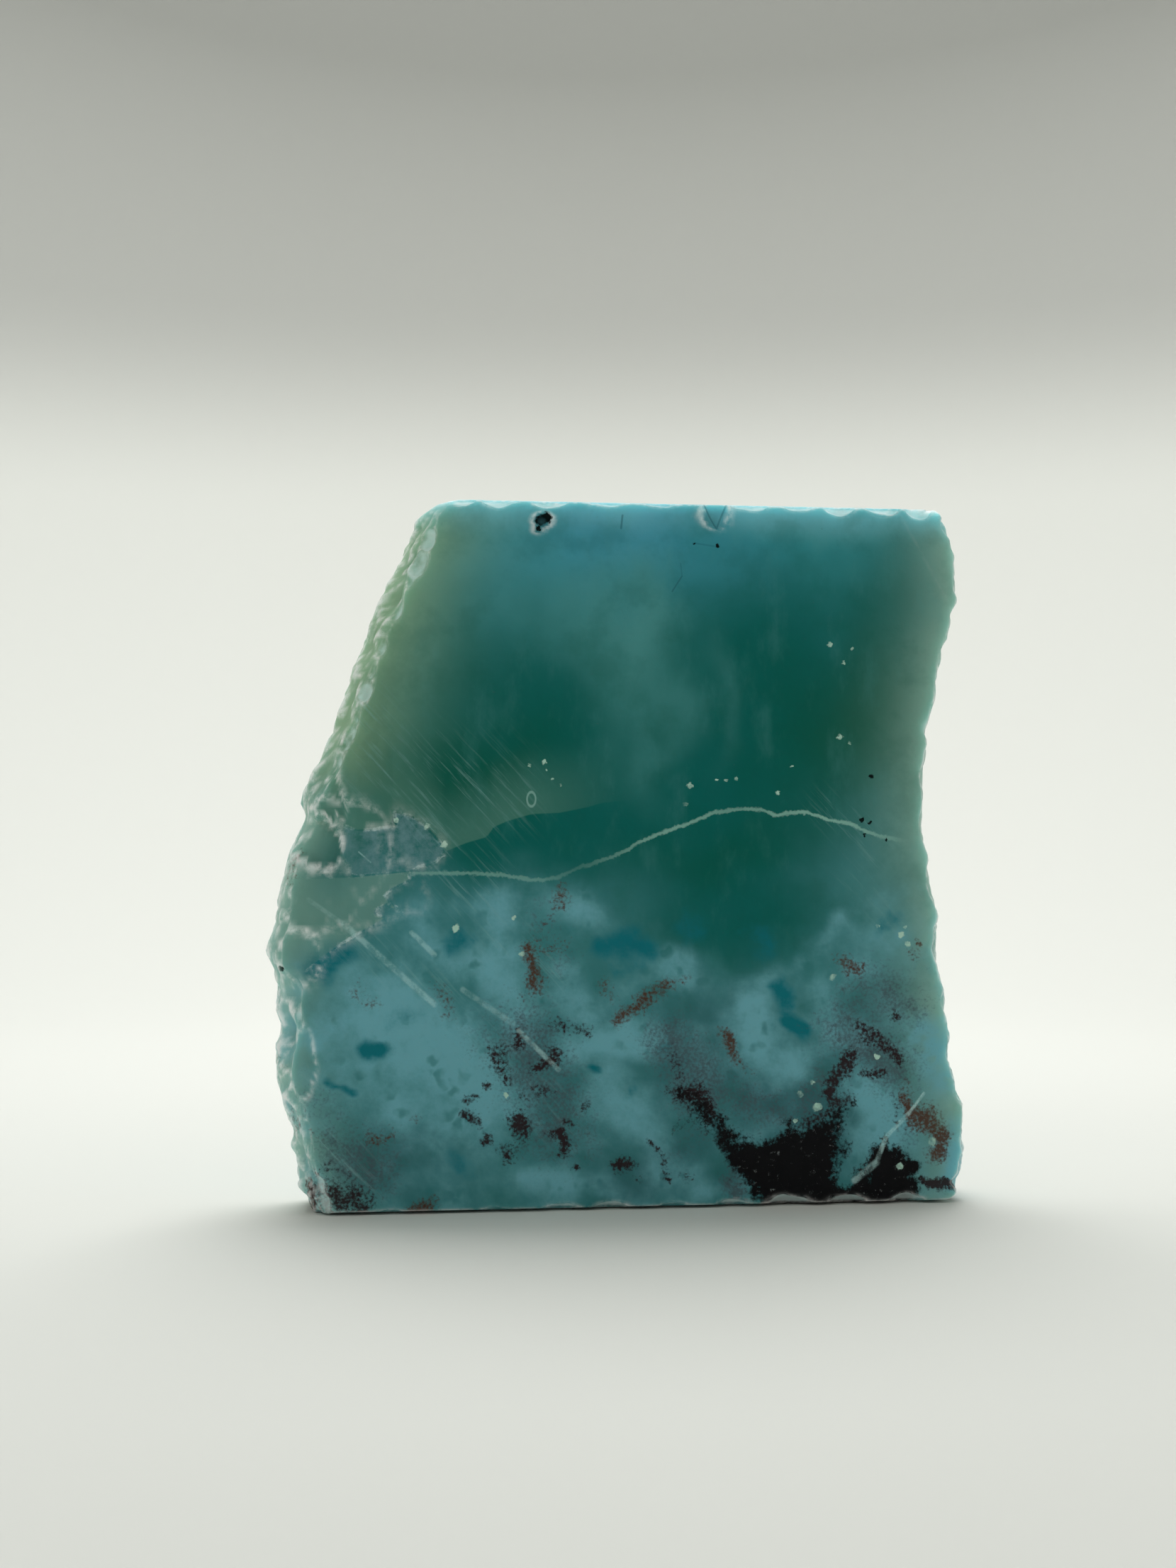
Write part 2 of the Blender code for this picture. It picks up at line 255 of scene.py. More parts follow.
# Soft ovals of tone on the front face: colour, centre x and z, half width, half height, turn in
# degrees, and strength
TONE_OVALS = (
    ("sea_green", -12.0, 31.0, 7.0, 3.6, 20.0, 0.9),
    ("sea_green", 16.0, 35.0, 5.5, 8.0, 0.0, 0.95),
    ("deep_teal", 12.0, 42.0, 5.0, 4.0, 0.0, 0.9),
    ("deep_teal", -10.0, 37.5, 5.0, 3.6, 0.0, 0.5),
    ("blue_teal", -6.0, 48.5, 13.0, 6.2, 0.0, 1.0),
    ("blue_teal", 12.0, 49.5, 12.0, 4.6, 0.0, 0.9),
    ("sky", 0.0, 47.0, 7.5, 4.2, 0.0, 0.9),
    ("haze", 0.6, 40.2, 3.6, 5.6, 0.0, 0.8),
    ("haze", -4.5, 42.8, 3.4, 2.6, -30.0, 0.5),
    ("haze", 2.6, 34.0, 1.2, 4.2, 3.0, 0.35),
    ("haze", 7.2, 36.0, 0.9, 3.6, 0.0, 0.25),
    ("haze", -15.5, 39.5, 2.6, 5.0, -25.0, 0.35),
    ("mist", -17.0, 22.5, 5.0, 3.4, 0.0, 0.8),
    ("mist", -1.0, 21.5, 5.0, 3.0, 0.0, 0.5),
    ("mist", 17.5, 22.0, 4.5, 5.0, 10.0, 0.85),
    ("mist", 19.0, 26.5, 3.0, 2.6, 0.0, 0.5),
    ("sea_green", 7.0, 25.3, 7.0, 1.8, 4.0, 0.6),
    ("shade", -18.0, 3.6, 6.0, 2.6, 0.0, 0.6),
    ("shade", 6.0, 10.5, 5.0, 4.4, 20.0, 0.6),
    ("shade", 14.0, 6.5, 8.0, 4.0, 0.0, 0.7),
    ("shade", 1.0, 3.0, 5.0, 2.4, 0.0, 0.6),
    ("shade", 18.0, 13.0, 4.0, 4.0, 0.0, 0.5),
    ("shade", -5.5, 10.0, 4.5, 5.0, 0.0, 0.4),
)

# Teal windows in the milky part: from x and z, to x and z, half width and strength
POOLS = (
    (-18.2, 11.5, -16.9, 11.3, 0.75, 1.0),
    (-20.9, 17.2, -19.6, 18.1, 1.25, 0.8),
    (-21.9, 17.0, -21.6, 17.6, 0.8, 0.5),
    (-20.4, 9.3, -18.6, 8.4, 0.45, 0.7),
    (-12.3, 18.6, -11.7, 19.1, 1.0, 0.7),
    (-15.8, 13.6, -14.4, 13.8, 1.3, 0.35),
    (-2.2, 9.9, -2.0, 9.9, 0.5, 0.9),
    (0.6, 8.6, 0.7, 8.6, 0.6, 0.6),
    (11.0, 16.0, 11.8, 14.4, 0.75, 0.75),
    (12.1, 13.2, 13.1, 12.4, 0.6, 0.95),
    (-11.9, 3.7, -11.5, 3.4, 1.0, 0.5),
    (4.4, 20.0, 5.2, 19.8, 1.2, 0.55),
    (9.3, 19.2, 10.0, 18.6, 1.3, 0.5),
    (3.0, 11.6, 3.2, 11.6, 0.7, 0.5),
    (-1.4, 18.5, 1.6, 18.7, 1.1, 0.8),
    (-0.5, 16.8, 0.8, 17.3, 0.8, 0.5),
    (18.6, 19.8, 19.4, 20.2, 0.9, 0.5),
    (-5.9, 20.5, -3.0, 19.4, 0.6, 0.3),
)

# Brown-red staining in the same way
RUST = (
    (-4.9, 22.7, -4.7, 21.6, 0.62, 0.62),
    (-5.0, 21.4, -5.9, 20.2, 0.45, 0.32),
    (-6.8, 18.1, -6.3, 16.2, 0.95, 0.95),
    (-6.0, 18.6, -4.6, 18.9, 0.8, 0.42),
    (-6.6, 15.6, -7.0, 14.5, 0.55, 0.5),
    (-0.4, 13.3, 1.2, 14.7, 0.55, 0.95),
    (1.0, 14.6, 3.3, 15.8, 0.62, 0.85),
    (3.2, 15.8, 4.8, 16.4, 0.5, 0.45),
    (-1.7, 15.7, -1.2, 15.2, 0.7, 0.55),
    (-18.4, 15.5, -18.0, 15.0, 1.0, 0.42),
    (-13.4, 15.5, -12.4, 14.0, 0.75, 0.45),
    (15.3, 17.4, 16.8, 16.6, 0.75, 0.62),
    (21.2, 18.3, 21.4, 18.3, 0.25, 0.8),
    (20.5, 17.8, 20.9, 17.7, 0.5, 0.4),
    (7.2, 12.3, 7.7, 10.9, 0.5, 0.95),
    (7.8, 10.7, 8.8, 9.2, 0.55, 0.6),
    (-24.2, 10.8, -24.0, 10.4, 0.6, 0.45),
    (-23.2, 6.9, -23.0, 6.5, 0.6, 0.45),
    (-21.7, 6.0, -21.3, 5.9, 0.6, 0.42),
    (-18.1, 5.5, -16.8, 5.8, 0.5, 0.6),
    (-15.1, 6.5, -14.7, 6.5, 0.55, 0.5),
    (20.4, 7.8, 21.6, 6.5, 0.85, 0.95),
    (21.6, 6.6, 23.0, 5.2, 0.95, 1.0),
    (23.0, 5.0, 22.4, 3.6, 0.85, 0.9),
    (-22.2, 3.0, -21.9, 0.6, 0.5, 0.95),
    (-14.8, 0.7, -13.4, 0.8, 0.5, 0.85),
    (-23.2, 23.1, -22.9, 25.2, 0.6, 0.55),
    (9.6, 9.4, 9.8, 9.2, 0.4, 0.4),
)

# Maroon and purple-brown grains in the same way
MAROON = (
    (-7.3, 12.4, -7.3, 11.4, 0.38, 0.9),
    (-8.6, 11.0, -8.3, 9.4, 0.75, 0.72),
    (-5.9, 9.8, -5.1, 10.2, 0.6, 1.0),
    (-4.9, 11.3, -4.9, 10.9, 0.5, 0.85),
    (-4.9, 12.9, -3.8, 12.7, 0.6, 0.55),
    (-3.0, 12.5, -2.7, 12.5, 0.42, 0.75),
    (-5.9, 8.1, -5.3, 8.2, 0.45, 0.75),
    (-9.6, 8.5, -9.5, 8.5, 0.34, 1.0),
    (-10.8, 7.8, -10.3, 8.0, 0.34, 0.9),
    (-11.0, 6.8, -10.7, 6.5, 0.52, 1.0),
    (-7.7, 8.1, -7.3, 7.9, 0.6, 0.55),
    (-7.6, 6.3, -7.2, 6.0, 0.8, 1.0),
    (-9.9, 5.5, -9.9, 5.2, 0.38, 0.95),
    (-8.4, 4.5, -8.0, 4.4, 0.72, 0.85),
    (-8.5, 3.6, -8.4, 3.5, 0.34, 0.8),
    (-4.5, 5.3, -4.3, 4.4, 0.5, 1.0),
    (-3.9, 6.1, -3.6, 6.0, 0.46, 0.9),
    (-5.2, 5.6, -4.5, 5.5, 0.4, 0.8),
    (-2.9, 7.4, -2.8, 7.4, 0.4, 0.65),
    (-3.3, 2.95, -3.25, 2.95, 0.32, 1.15),
    (-0.4, 3.0, 0.2, 3.0, 0.42, 0.95),
    (0.9, 2.1, 1.0, 2.1, 0.32, 0.6),
    (1.5, 4.9, 2.4, 3.6, 0.3, 0.9),
    (2.4, 3.6, 3.4, 2.1, 0.36, 0.85),
    (4.7, 2.3, 5.0, 2.0, 0.4, 0.6),
    (3.7, 11.0, 4.2, 9.4, 0.6, 0.62),
    (3.4, 8.6, 4.4, 8.0, 0.6, 0.5),
    (4.8, 8.2, 6.2, 6.2, 0.75, 1.0),
    (16.8, 12.9, 18.7, 11.0, 0.7, 0.72),
    (18.6, 11.0, 19.9, 9.9, 0.6, 0.85),
    (19.2, 13.4, 19.5, 13.3, 0.4, 0.7),
    (16.9, 9.3, 18.3, 9.2, 0.36, 0.85),
    (16.1, 10.9, 15.3, 8.4, 0.62, 1.0),
    (15.0, 8.4, 15.7, 7.6, 0.75, 0.9),
    (15.4, 6.9, 12.8, 5.6, 0.8, 0.75),
    (18.9, 4.6, 17.4, 2.6, 0.5, 0.75),
    (19.4, 7.2, 20.0, 5.6, 0.7, 0.45),
    (21.3, 1.5, 24.1, 1.2, 0.36, 1.0),
    (-21.3, 2.2, -19.0, 1.0, 1.3, 0.8),
    (-19.4, 1.2, -18.4, 0.7, 0.8, 0.9),
)

# Grey-purple clouding round the dark grains
BRUISES = (
    (-7.0, 12.0, -5.0, 6.5, 3.4, 0.7),
    (-4.0, 6.0, -2.5, 5.0, 1.8, 0.5),
    (3.4, 12.0, 5.6, 8.0, 2.6, 0.75),
    (7.0, 8.0, 11.0, 6.6, 1.8, 0.6),
    (15.8, 12.6, 19.4, 9.4, 2.4, 0.75),
    (17.0, 15.6, 20.5, 14.0, 2.2, 0.6),
    (14.0, 9.0, 13.0, 7.0, 1.6, 0.6),
    (19.0, 8.4, 20.4, 5.6, 1.6, 0.5),
    (-19.8, 4.4, -17.6, 3.4, 2.6, 0.7),
    (-22.6, 8.0, -20.0, 6.4, 2.2, 0.35),
    (8.4, 3.0, 8.0, 1.0, 1.4, 0.8),
    (-6.0, 20.6, -4.6, 17.4, 1.8, 0.4),
    (5.8, 5.2, 3.6, 3.4, 1.4, 0.35),
)

# Fields of saw marks: from x and z, to x and z, half width and strength
SAW_FIELDS = (
    (-17.0, 31.5, -9.0, 29.5, 2.6, 1.0),
    (-18.0, 34.5, -15.0, 30.5, 2.0, 0.7),
    (-14.0, 27.0, -10.5, 21.5, 1.6, 1.0),
    (-10.0, 24.0, -9.0, 19.0, 1.6, 0.7),
    (-19.0, 19.0, -14.0, 15.5, 1.4, 0.8),
    (-21.0, 5.0, -18.5, 2.0, 1.6, 0.9),
    (14.6, 28.4, 18.2, 25.4, 1.2, 0.8),
    (-7.5, 19.5, -5.5, 16.5, 1.4, 0.6),
    (-13.0, 16.0, -11.5, 14.0, 1.0, 0.6),
    (-11.0, 13.0, -4.0, 6.0, 2.6, 0.35),
    (17.0, 23.0, 20.0, 20.0, 1.6, 0.3),
)
SAW_ANGLE = math.radians(47.0)

# Extra marks that only the back shows, in the same way
BACK_RUST = (
    (14.0, 31.0, 16.2, 28.6, 0.8, 0.9),
    (11.0, 12.0, 13.4, 10.6, 0.9, 0.9),
    (-12.0, 24.0, -10.6, 22.4, 0.7, 0.7),
    (-2.0, 7.0, -0.4, 5.6, 0.9, 0.8),
    (-18.0, 40.0, -16.6, 39.0, 0.5, 0.6),
)
BACK_MAROON = (
    (6.0, 20.4, 7.4, 19.6, 0.7, 0.9),
    (-8.0, 14.0, -7.0, 12.4, 0.8, 0.9),
    (17.0, 20.0, 18.4, 18.6, 0.7, 0.8),
    (-15.0, 8.0, -13.4, 7.0, 0.8, 0.8),
    (1.0, 12.0, 2.0, 10.4, 0.6, 0.8),
)

# Straight scratches on the front: from x and z, to x and z, width and strength
PALE_SCRATCHES = (
    (-22.1, 21.9, -19.65, 20.2, 0.22, 0.30),
    (-19.65, 20.2, -13.4, 14.6, 0.30, 0.62),
    (-13.2, 14.4, -7.9, 13.2, 0.16, 0.0),
    (-11.4, 15.6, -7.9, 13.2, 0.28, 0.40),
    (-7.5, 12.7, -4.7, 9.95, 0.24, 0.75),
    (-14.95, 19.6, -13.4, 18.05, 0.26, 0.60),
    (21.7, 7.9, 20.6, 6.5, 0.16, 0.95),
    (20.6, 6.5, 18.9, 4.8, 0.22, 0.90),
    (18.9, 4.8, 18.2, 3.0, 0.24, 0.90),
    (18.2, 3.0, 16.6, 1.75, 0.34, 0.80),
    (-18.6, 25.2, -17.8, 24.5, 0.08, 0.7),
    (3.6, 49.6, 3.4, 47.0, 0.10, 0.0),
)
DARK_SCRATCHES = (
    (3.4, 43.6, 4.1, 44.7, 0.08, 0.55),
    (4.1, 44.7, 4.0, 45.6, 0.06, 0.40),
    (-0.15, 48.9, -0.25, 48.0, 0.10, 0.60),
    (5.7, 49.8, 6.6, 48.1, 0.09, 0.55),
    (7.35, 49.9, 6.6, 48.1, 0.09, 0.45),
    (4.9, 47.05, 6.4, 46.85, 0.08, 0.35),
)

# Bright grains on the front: x, z and radius
PALE_SPECKS = (
    (-5.7, 31.5, 0.22), (-6.7, 31.3, 0.14), (-5.5, 31.0, 0.12), (-5.1, 30.3, 0.14),
    (-4.5, 29.9, 0.13), (4.65, 29.9, 0.26), (4.35, 28.6, 0.16), (6.6, 30.35, 0.12),
    (7.3, 30.3, 0.15), (8.0, 30.35, 0.17), (11.0, 29.4, 0.16), (12.0, 31.3, 0.13),
    (15.5, 33.4, 0.24), (16.2, 33.0, 0.16), (14.8, 40.0, 0.24), (16.4, 39.7, 0.14),
    (15.8, 38.7, 0.16), (-7.3, 18.1, 0.24), (-7.8, 20.6, 0.18), (-8.4, 8.2, 0.2),
    (20.0, 19.3, 0.28), (20.5, 18.6, 0.26), (18.3, 19.9, 0.16), (20.3, 19.8, 0.16),
    (18.2, 10.55, 0.24), (13.9, 7.0, 0.38), (19.9, 2.7, 0.3), (22.3, 4.45, 0.34),
    (15.0, 16.3, 0.26), (12.3, 6.1, 0.2), (13.5, 8.8, 0.22), (12.6, 8.0, 0.26),
    (-12.7, 25.7, 0.3), (-13.9, 27.0, 0.26), (-16.0, 27.4, 0.2), (-11.9, 19.9, 0.34),
)
# Dark grains, and painted shade in pits and in the small scar holes under the top edge: x, z and radius
DARK_SPECKS_AND_PIT_SHADE = (
    (-4.6, 45.9, 0.10), (6.6, 46.9, 0.16), (5.0, 47.0, 0.10), (17.8, 30.6, 0.24),
    (17.1, 27.5, 0.20), (17.7, 27.3, 0.16), (17.3, 26.4, 0.15), (18.9, 26.1, 0.12),
    (-22.3, 29.1, 0.24), (-24.5, 17.9, 0.22), (-24.0, 17.1, 0.24), (-21.4, 26.2, 0.26),
    (-5.9, 48.5, 0.50), (-5.5, 48.65, 0.44), (-6.05, 47.9, 0.22),
)

# The tear-shaped ring in the stone above the vein: centre x and z, half width and half height
RING = (-6.6, 28.9, 0.30, 0.50)


class SlabShape(bpy.types.PropertyGroup):
    """Sizes of the slab's edges and broken walls."""

    left_roll: bpy.props.FloatProperty(
        name="Left roll",
        description="How far the left wall draws in where it meets the sawn faces",
        default=1.2 * MM,
        unit="LENGTH",
    )
    right_roll: bpy.props.FloatProperty(
        name="Right roll",
        description="How far the right wall draws in where it meets the sawn faces",
        default=0.15 * MM,
        unit="LENGTH",
    )
    sawn_roll: bpy.props.FloatProperty(
        name="Sawn roll",
        description="How far the top and bottom draw in where they meet the sawn faces",
        default=0.25 * MM,
        unit="LENGTH",
    )
    lump_depth: bpy.props.FloatProperty(
        name="Lump depth",
        description="Depth of the shell-shaped hollows in the broken walls",
        default=1.1 * MM,
        unit="LENGTH",
    )
    grit_depth: bpy.props.FloatProperty(
        name="Grit depth",
        description="Depth of the fine roughness of the broken walls",
        default=0.28 * MM,
        unit="LENGTH",
    )


class StoneColours(bpy.types.PropertyGroup):
    """The stone's own colours, from clear teal to black matrix, and the painted glow of light from behind in its edges.
    """

    deep_teal: bpy.props.FloatVectorProperty(
        name="Deep teal",
        description="The clear body of the stone",
        subtype="COLOR",
        default=screen_tone(3, 72, 68),
    )
    sea_green: bpy.props.FloatVectorProperty(
        name="Sea green",
        description="The greener, darker body of the stone",
        subtype="COLOR",
        default=screen_tone(0, 64, 52),
    )
    blue_teal: bpy.props.FloatVectorProperty(
        name="Blue teal",
        description="The stone's upper part",
        subtype="COLOR",
        default=screen_tone(42, 107, 113),
    )
    sky: bpy.props.FloatVectorProperty(
        name="Sky blue",
        description="The bluest part, under the top edge",
        subtype="COLOR",
        default=screen_tone(52, 114, 132),
    )
    haze: bpy.props.FloatVectorProperty(
        name="Haze",
        description="Pale feathers in the teal",
        subtype="COLOR",
        default=screen_tone(60, 110, 110),
    )
    mist: bpy.props.FloatVectorProperty(
        name="Mist",
        description="Between the teal and the milky part",
        subtype="COLOR",
        default=screen_tone(46, 94, 97),
    )
    milk: bpy.props.FloatVectorProperty(
        name="Milk",
        description="The pale blue net of the lower part",
        subtype="COLOR",
        default=screen_tone(80, 124, 132),
    )
    shade: bpy.props.FloatVectorProperty(
        name="Shade",
        description="The greyer, darker stone round the inclusions",
        subtype="COLOR",
        default=screen_tone(36, 68, 74),
    )
    pool: bpy.props.FloatVectorProperty(
        name="Pool",
        description="Teal windows in the milky part",
        subtype="COLOR",
        default=screen_tone(8, 82, 90),
    )
    # Painted light: the glow of light from behind shining through the thin upper left edge, painted into the colour
    painted_glow_upper_left: bpy.props.FloatVectorProperty(
        name="Painted upper left glow",
        description="The yellow-green glow inside the upper left edge",
        subtype="COLOR",
        default=screen_tone(108, 132, 108),
    )
    # Painted light: the glow of light from behind shining through the thin broken edges, painted into the colour
    painted_edge_glow: bpy.props.FloatVectorProperty(
        name="Painted edge glow",
        description="The pale glow inside the other broken edges",
        subtype="COLOR",
        default=screen_tone(116, 142, 132),
    )
    chip: bpy.props.FloatVectorProperty(
        name="Chip",
        description="Freshly chipped, powdery stone",
        subtype="COLOR",
        default=screen_tone(160, 180, 176),
    )
    rust: bpy.props.FloatVectorProperty(
        name="Rust",
        description="Iron staining",
        subtype="COLOR",
        default=screen_tone(58, 34, 22),
    )
    maroon: bpy.props.FloatVectorProperty(
        name="Maroon",
        description="Dark red grains",
        subtype="COLOR",
        default=screen_tone(30, 16, 19),
    )
    bruise: bpy.props.FloatVectorProperty(
        name="Bruise",
        description="Grey-purple clouding round the grains",
        subtype="COLOR",
        default=screen_tone(52, 64, 70),
    )
    matrix: bpy.props.FloatVectorProperty(
        name="Matrix",
        description="The black mass",
        subtype="COLOR",
        default=screen_tone(9, 9, 11),
    )


class Studio(bpy.types.PropertyGroup):
    """Sizes and strengths of the plain studio."""

    floor_colour: bpy.props.FloatVectorProperty(
        name="Floor",
        description="Colour of the pale floor and sweep",
        subtype="COLOR",
        default=(0.80, 0.81, 0.77),
    )
    key_power: bpy.props.FloatProperty(
        name="Key light",
        description="Power of the soft light above and behind the stone",
        default=0.75,
        unit="POWER",
    )
    fill_power: bpy.props.FloatProperty(
        name="Fill light",
        description="Power of the weak light in front of the stone",
        default=0.10,
        unit="POWER",
    )
    wash_power: bpy.props.FloatProperty(
        name="Backdrop light",
        description="Power of the soft light on the sweep behind the stone",
        default=0.35,
        unit="POWER",
    )
    sky_strength: bpy.props.FloatProperty(
        name="Room light",
        description="Strength of the even light from all round",
        default=0.26,
    )


# Numbers for the noise that every pattern is made from
HASH_STEPS = np.array((73856093, 19349663, 83492791), np.int64)
HASH_SEED = 2654435761
HASH_FOLDS = ((33, 0xFF51AFD7ED558CCD), (29, 0xC4CEB9FE1A85EC53))
HASH_BITS = 24


def fade(value, low, high):
    """0 below low and 1 above high, with a smooth S between: t squared times 3 minus 2 t."""
    t = np.clip((value - low) / (high - low), 0.0, 1.0)
    return t * t * (3.0 - 2.0 * t)


def scatter(cells, seed):
    """A repeatable number from 0 to 1 for each row of three whole numbers, mixed up by multiplying and folding."""
    key = ((cells.astype(np.int64) * HASH_STEPS).sum(axis=-1) + seed * HASH_SEED).astype(np.uint64)
    for shift, factor in HASH_FOLDS:
        key = (key ^ (key >> np.uint64(shift))) * np.uint64(factor)
    return (key >> np.uint64(64 - HASH_BITS)).astype(float) / 2.0 ** HASH_BITS


def soft_noise(points, size, seed):
    """Smooth noise from -1 to 1: random values at the corners of cubes of this size, blended between them."""
    lattice = points / size
    corner = np.floor(lattice)
    t = lattice - corner
    t = t * t * t * (t * (t * 6.0 - 15.0) + 10.0)
    total = np.zeros(len(points))
    for step in itertools.product((0, 1), repeat=3):
        weight = np.prod(np.where(step, t, 1.0 - t), axis=1)
        total += weight * scatter(corner + np.array(step), seed)
    return 2.0 * total - 1.0


def layered_noise(points, size, layers, seed):
    """Layers of soft noise, each half as large and half as high as the one before."""
    total = np.zeros(len(points))
    for layer in range(layers):
        total += soft_noise(points, size / 2 ** layer, seed + layer) / 2 ** layer
    return total


def nearest_seed(points, size, seed):
    """Distance, in cells, to the nearest of the seeds strewn one to each cube of this size."""
    lattice = points / size
    corner = np.floor(lattice)
    nearest = np.full(len(points), 9.0)
    for step in itertools.product((-1, 0, 1), repeat=3):
        cell = corner + np.array(step)
        place = cell + np.stack([scatter(cell, seed + axis) for axis in range(3)], axis=1)
        nearest = np.minimum(nearest, np.linalg.norm(lattice - place, axis=1))
    return nearest


def smooth_line(marks, at):
    """The height of a smooth line through marks (place, height): a cubic whose slope at each mark is its neighbours'."""
    place, height = np.array(marks, float).T
    slope = np.gradient(height, place)
    i = np.clip(np.searchsorted(place, at) - 1, 0, len(place) - 2)
    gap = place[i + 1] - place[i]
    t = np.clip((at - place[i]) / gap, 0.0, 1.0)
    start = (1.0 + 2.0 * t) * (1.0 - t) ** 2 * height[i] + t * (1.0 - t) ** 2 * gap * slope[i]
    end = t * t * (3.0 - 2.0 * t) * height[i + 1] + t * t * (t - 1.0) * gap * slope[i + 1]
    return start + end


def segment_distance(place, start, end):
    """Distance of each place from the straight line between two points."""
    run = np.subtract(end, start)
    offset = place - start
    share = np.clip(offset @ run / (run @ run), 0.0, 1.0)
    return np.linalg.norm(offset - share[:, None] * run, axis=1)


def outline_distance(place, outline):
    """Distance to a closed outline, positive inside: a place is inside where an odd number of sides lie to its right."""
    inside = np.zeros(len(place), bool)
    nearest = np.full(len(place), np.inf)
    x, z = place.T
    for start, end in zip(outline, outline[1:] + outline[:1]):
        nearest = np.minimum(nearest, segment_distance(place, start, end))
        if start[1] != end[1]:
            crossing = start[0] + (z - start[1]) * (end[0] - start[0]) / (end[1] - start[1])
            inside ^= ((start[1] > z) != (end[1] > z)) & (x < crossing)
    return np.where(inside, nearest, -nearest)


def stroke_field(place, strokes):
    """The strongest of a set of soft strokes: strength times e to the minus squared distance over squared width."""
    field = np.zeros(len(place))
    for x0, z0, x1, z1, width, strength in strokes:
        reach = segment_distance(place, (x0, z0), (x1, z1)) / width
        field = np.maximum(field, strength * np.exp(-reach * reach))
    return field


def oval_field(place, x, z, wide, high, turn):
    """A soft oval: e to the minus squared distance, measured along its turned half width and half height."""
    angle = math.radians(turn)
    along = (place[:, 0] - x) * math.cos(angle) + (place[:, 1] - z) * math.sin(angle)
    over = (place[:, 1] - z) * math.cos(angle) - (place[:, 0] - x) * math.sin(angle)
    return np.exp(-(along / wide) ** 2 - (over / high) ** 2)


# The slab's surface cells across, through and up it, and how closely they crowd at the rims
SURFACE_CELLS = (190, 30, 196)
RIM_CROWDING = (0.6, 0.6, 0.6)
ROLL_POWER = 4


def box_surface(cells):
    """The outside of a block of cells, as whole-number corners and quads that face outwards.

    Each side is a grid over two of the three counts. Sides share the corners along their seams,
    because equal corners are merged.
    """
    sides = []
    for axis in range(3):
        first, second = (axis + 1) % 3, (axis + 2) % 3
        a, b = np.meshgrid(np.arange(cells[first]), np.arange(cells[second]), indexing="ij")
        for at, turn in ((0, -1), (cells[axis], 1)):
            quads = np.empty(a.shape + (4, 3), int)
            for place, (da, db) in enumerate(((0, 0), (1, 0), (1, 1), (0, 1))[::turn]):
                quads[..., place, axis] = at
                quads[..., place, first] = a + da
                quads[..., place, second] = b + db
            sides.append(quads.reshape(-1, 3))
    corners, index = np.unique(np.concatenate(sides), axis=0, return_inverse=True)
    return corners, index.reshape(-1, 4)


def crowd(t, amount):
    """Moves places from 0 to 1 towards both ends: t minus amount times sin(2 pi t) over 2 pi."""
    return t - amount * np.sin(2.0 * np.pi * t) / (2.0 * np.pi)


def wall_line(side, height, depth, shape):
    """Where the left or right wall lies at a height and a depth from -1 to 1: its outline, drawn in by depth to the fourth."""
    drawn_in = np.abs(depth) ** ROLL_POWER
    if side < 0:
        return LEFT_SIDE + smooth_line(LEFT_BREAK, height) + shape.left_roll / MM * drawn_in
    return RIGHT_SIDE - smooth_line(RIGHT_BREAK, height) - shape.right_roll / MM * drawn_in


def bare_slab(shape):
    """The slab before it is broken: the points of a closed surface in mm, and its quads.

    Across runs from the left wall's line to the right one's, up runs between the sawn edges, which
    draw in by depth to the fourth, and through runs from the front face to the back one.
    """
    corners, quads = box_surface(SURFACE_CELLS)
    across, through, up = (
        crowd(corners[:, axis] / SURFACE_CELLS[axis], RIM_CROWDING[axis]) for axis in range(3)
    )
    depth = 2.0 * through - 1.0
    drawn_in = shape.sawn_roll / MM * np.abs(depth) ** ROLL_POWER
    z = drawn_in + (SLAB_TOP - 2.0 * drawn_in) * up
    left = wall_line(-1, z, depth, shape)
    right = wall_line(1, z, depth, shape)
    return np.stack((left + (right - left) * across, HALF_DEPTH * depth, z), axis=1), quads


LUMP_SIZE = 3.4
GRIT_SIZE = 0.9
WALL_REACH = 1.3
# The wall's widest line lies this far from the middle, as a share of half the depth: there it stays whole
CROWN_DEPTH = 0.35
SAWN_FADE = 1.5


def break_walls(points, shape):
    """Moves the stone near each broken wall inwards, by the distance to strewn seeds plus fine noise.

    The move fades out with the distance from the wall and next to the sawn top and bottom.
    """
    x, y, z = points.T
    near_sawn = fade(np.minimum(z, SLAB_TOP - z), 0.0, SAWN_FADE)
    shells = np.clip(1.0 - nearest_seed(points, LUMP_SIZE, 11), 0.0, 1.0) ** 1.5
    below_crown = fade(np.abs(np.abs(y) / HALF_DEPTH - CROWN_DEPTH), 0.0, 0.5)
    sunk = shape.lump_depth / MM * shells * near_sawn * below_crown
    sunk += shape.grit_depth / MM * layered_noise(points, GRIT_SIZE, 3, 31) * (0.4 + 0.6 * near_sawn)
    flat = np.zeros(len(points))
    for side in (-1, 1):
        wall = wall_line(side, z, flat, shape)
        away = np.maximum(side * (wall - x), 0.0)
        points[:, 0] -= side * sunk * np.exp(-(away / WALL_REACH) ** 2)


def scoop(points, fresh, centre, radii, rough=0.10, seed=0):
    """Pushes the points inside a ball-like hollow straight out on to its surface, rippled by noise.

    fresh grows with how far each point went, up to 1 at a third of a millimetre.
    """
    offset = (points - centre) / radii
    reach = np.linalg.norm(offset, axis=1)
    near = np.flatnonzero(reach < 1.0 + 2.0 * rough)
    if not len(near):
        return
    ripple = 1.0 + rough * layered_noise(points[near], 0.45 * min(radii), 2, seed)
    inside = np.maximum(ripple - reach[near], 0.0)
    move = offset[near] / np.maximum(reach[near], 0.05)[:, None] * inside[:, None] * radii
    points[near] += move
    points[near, 2] = np.clip(points[near, 2], 0.0, SLAB_TOP)
    fresh[near] = np.maximum(fresh[near], np.clip(np.linalg.norm(move, axis=1) * 3.0, 0.0, 1.0))


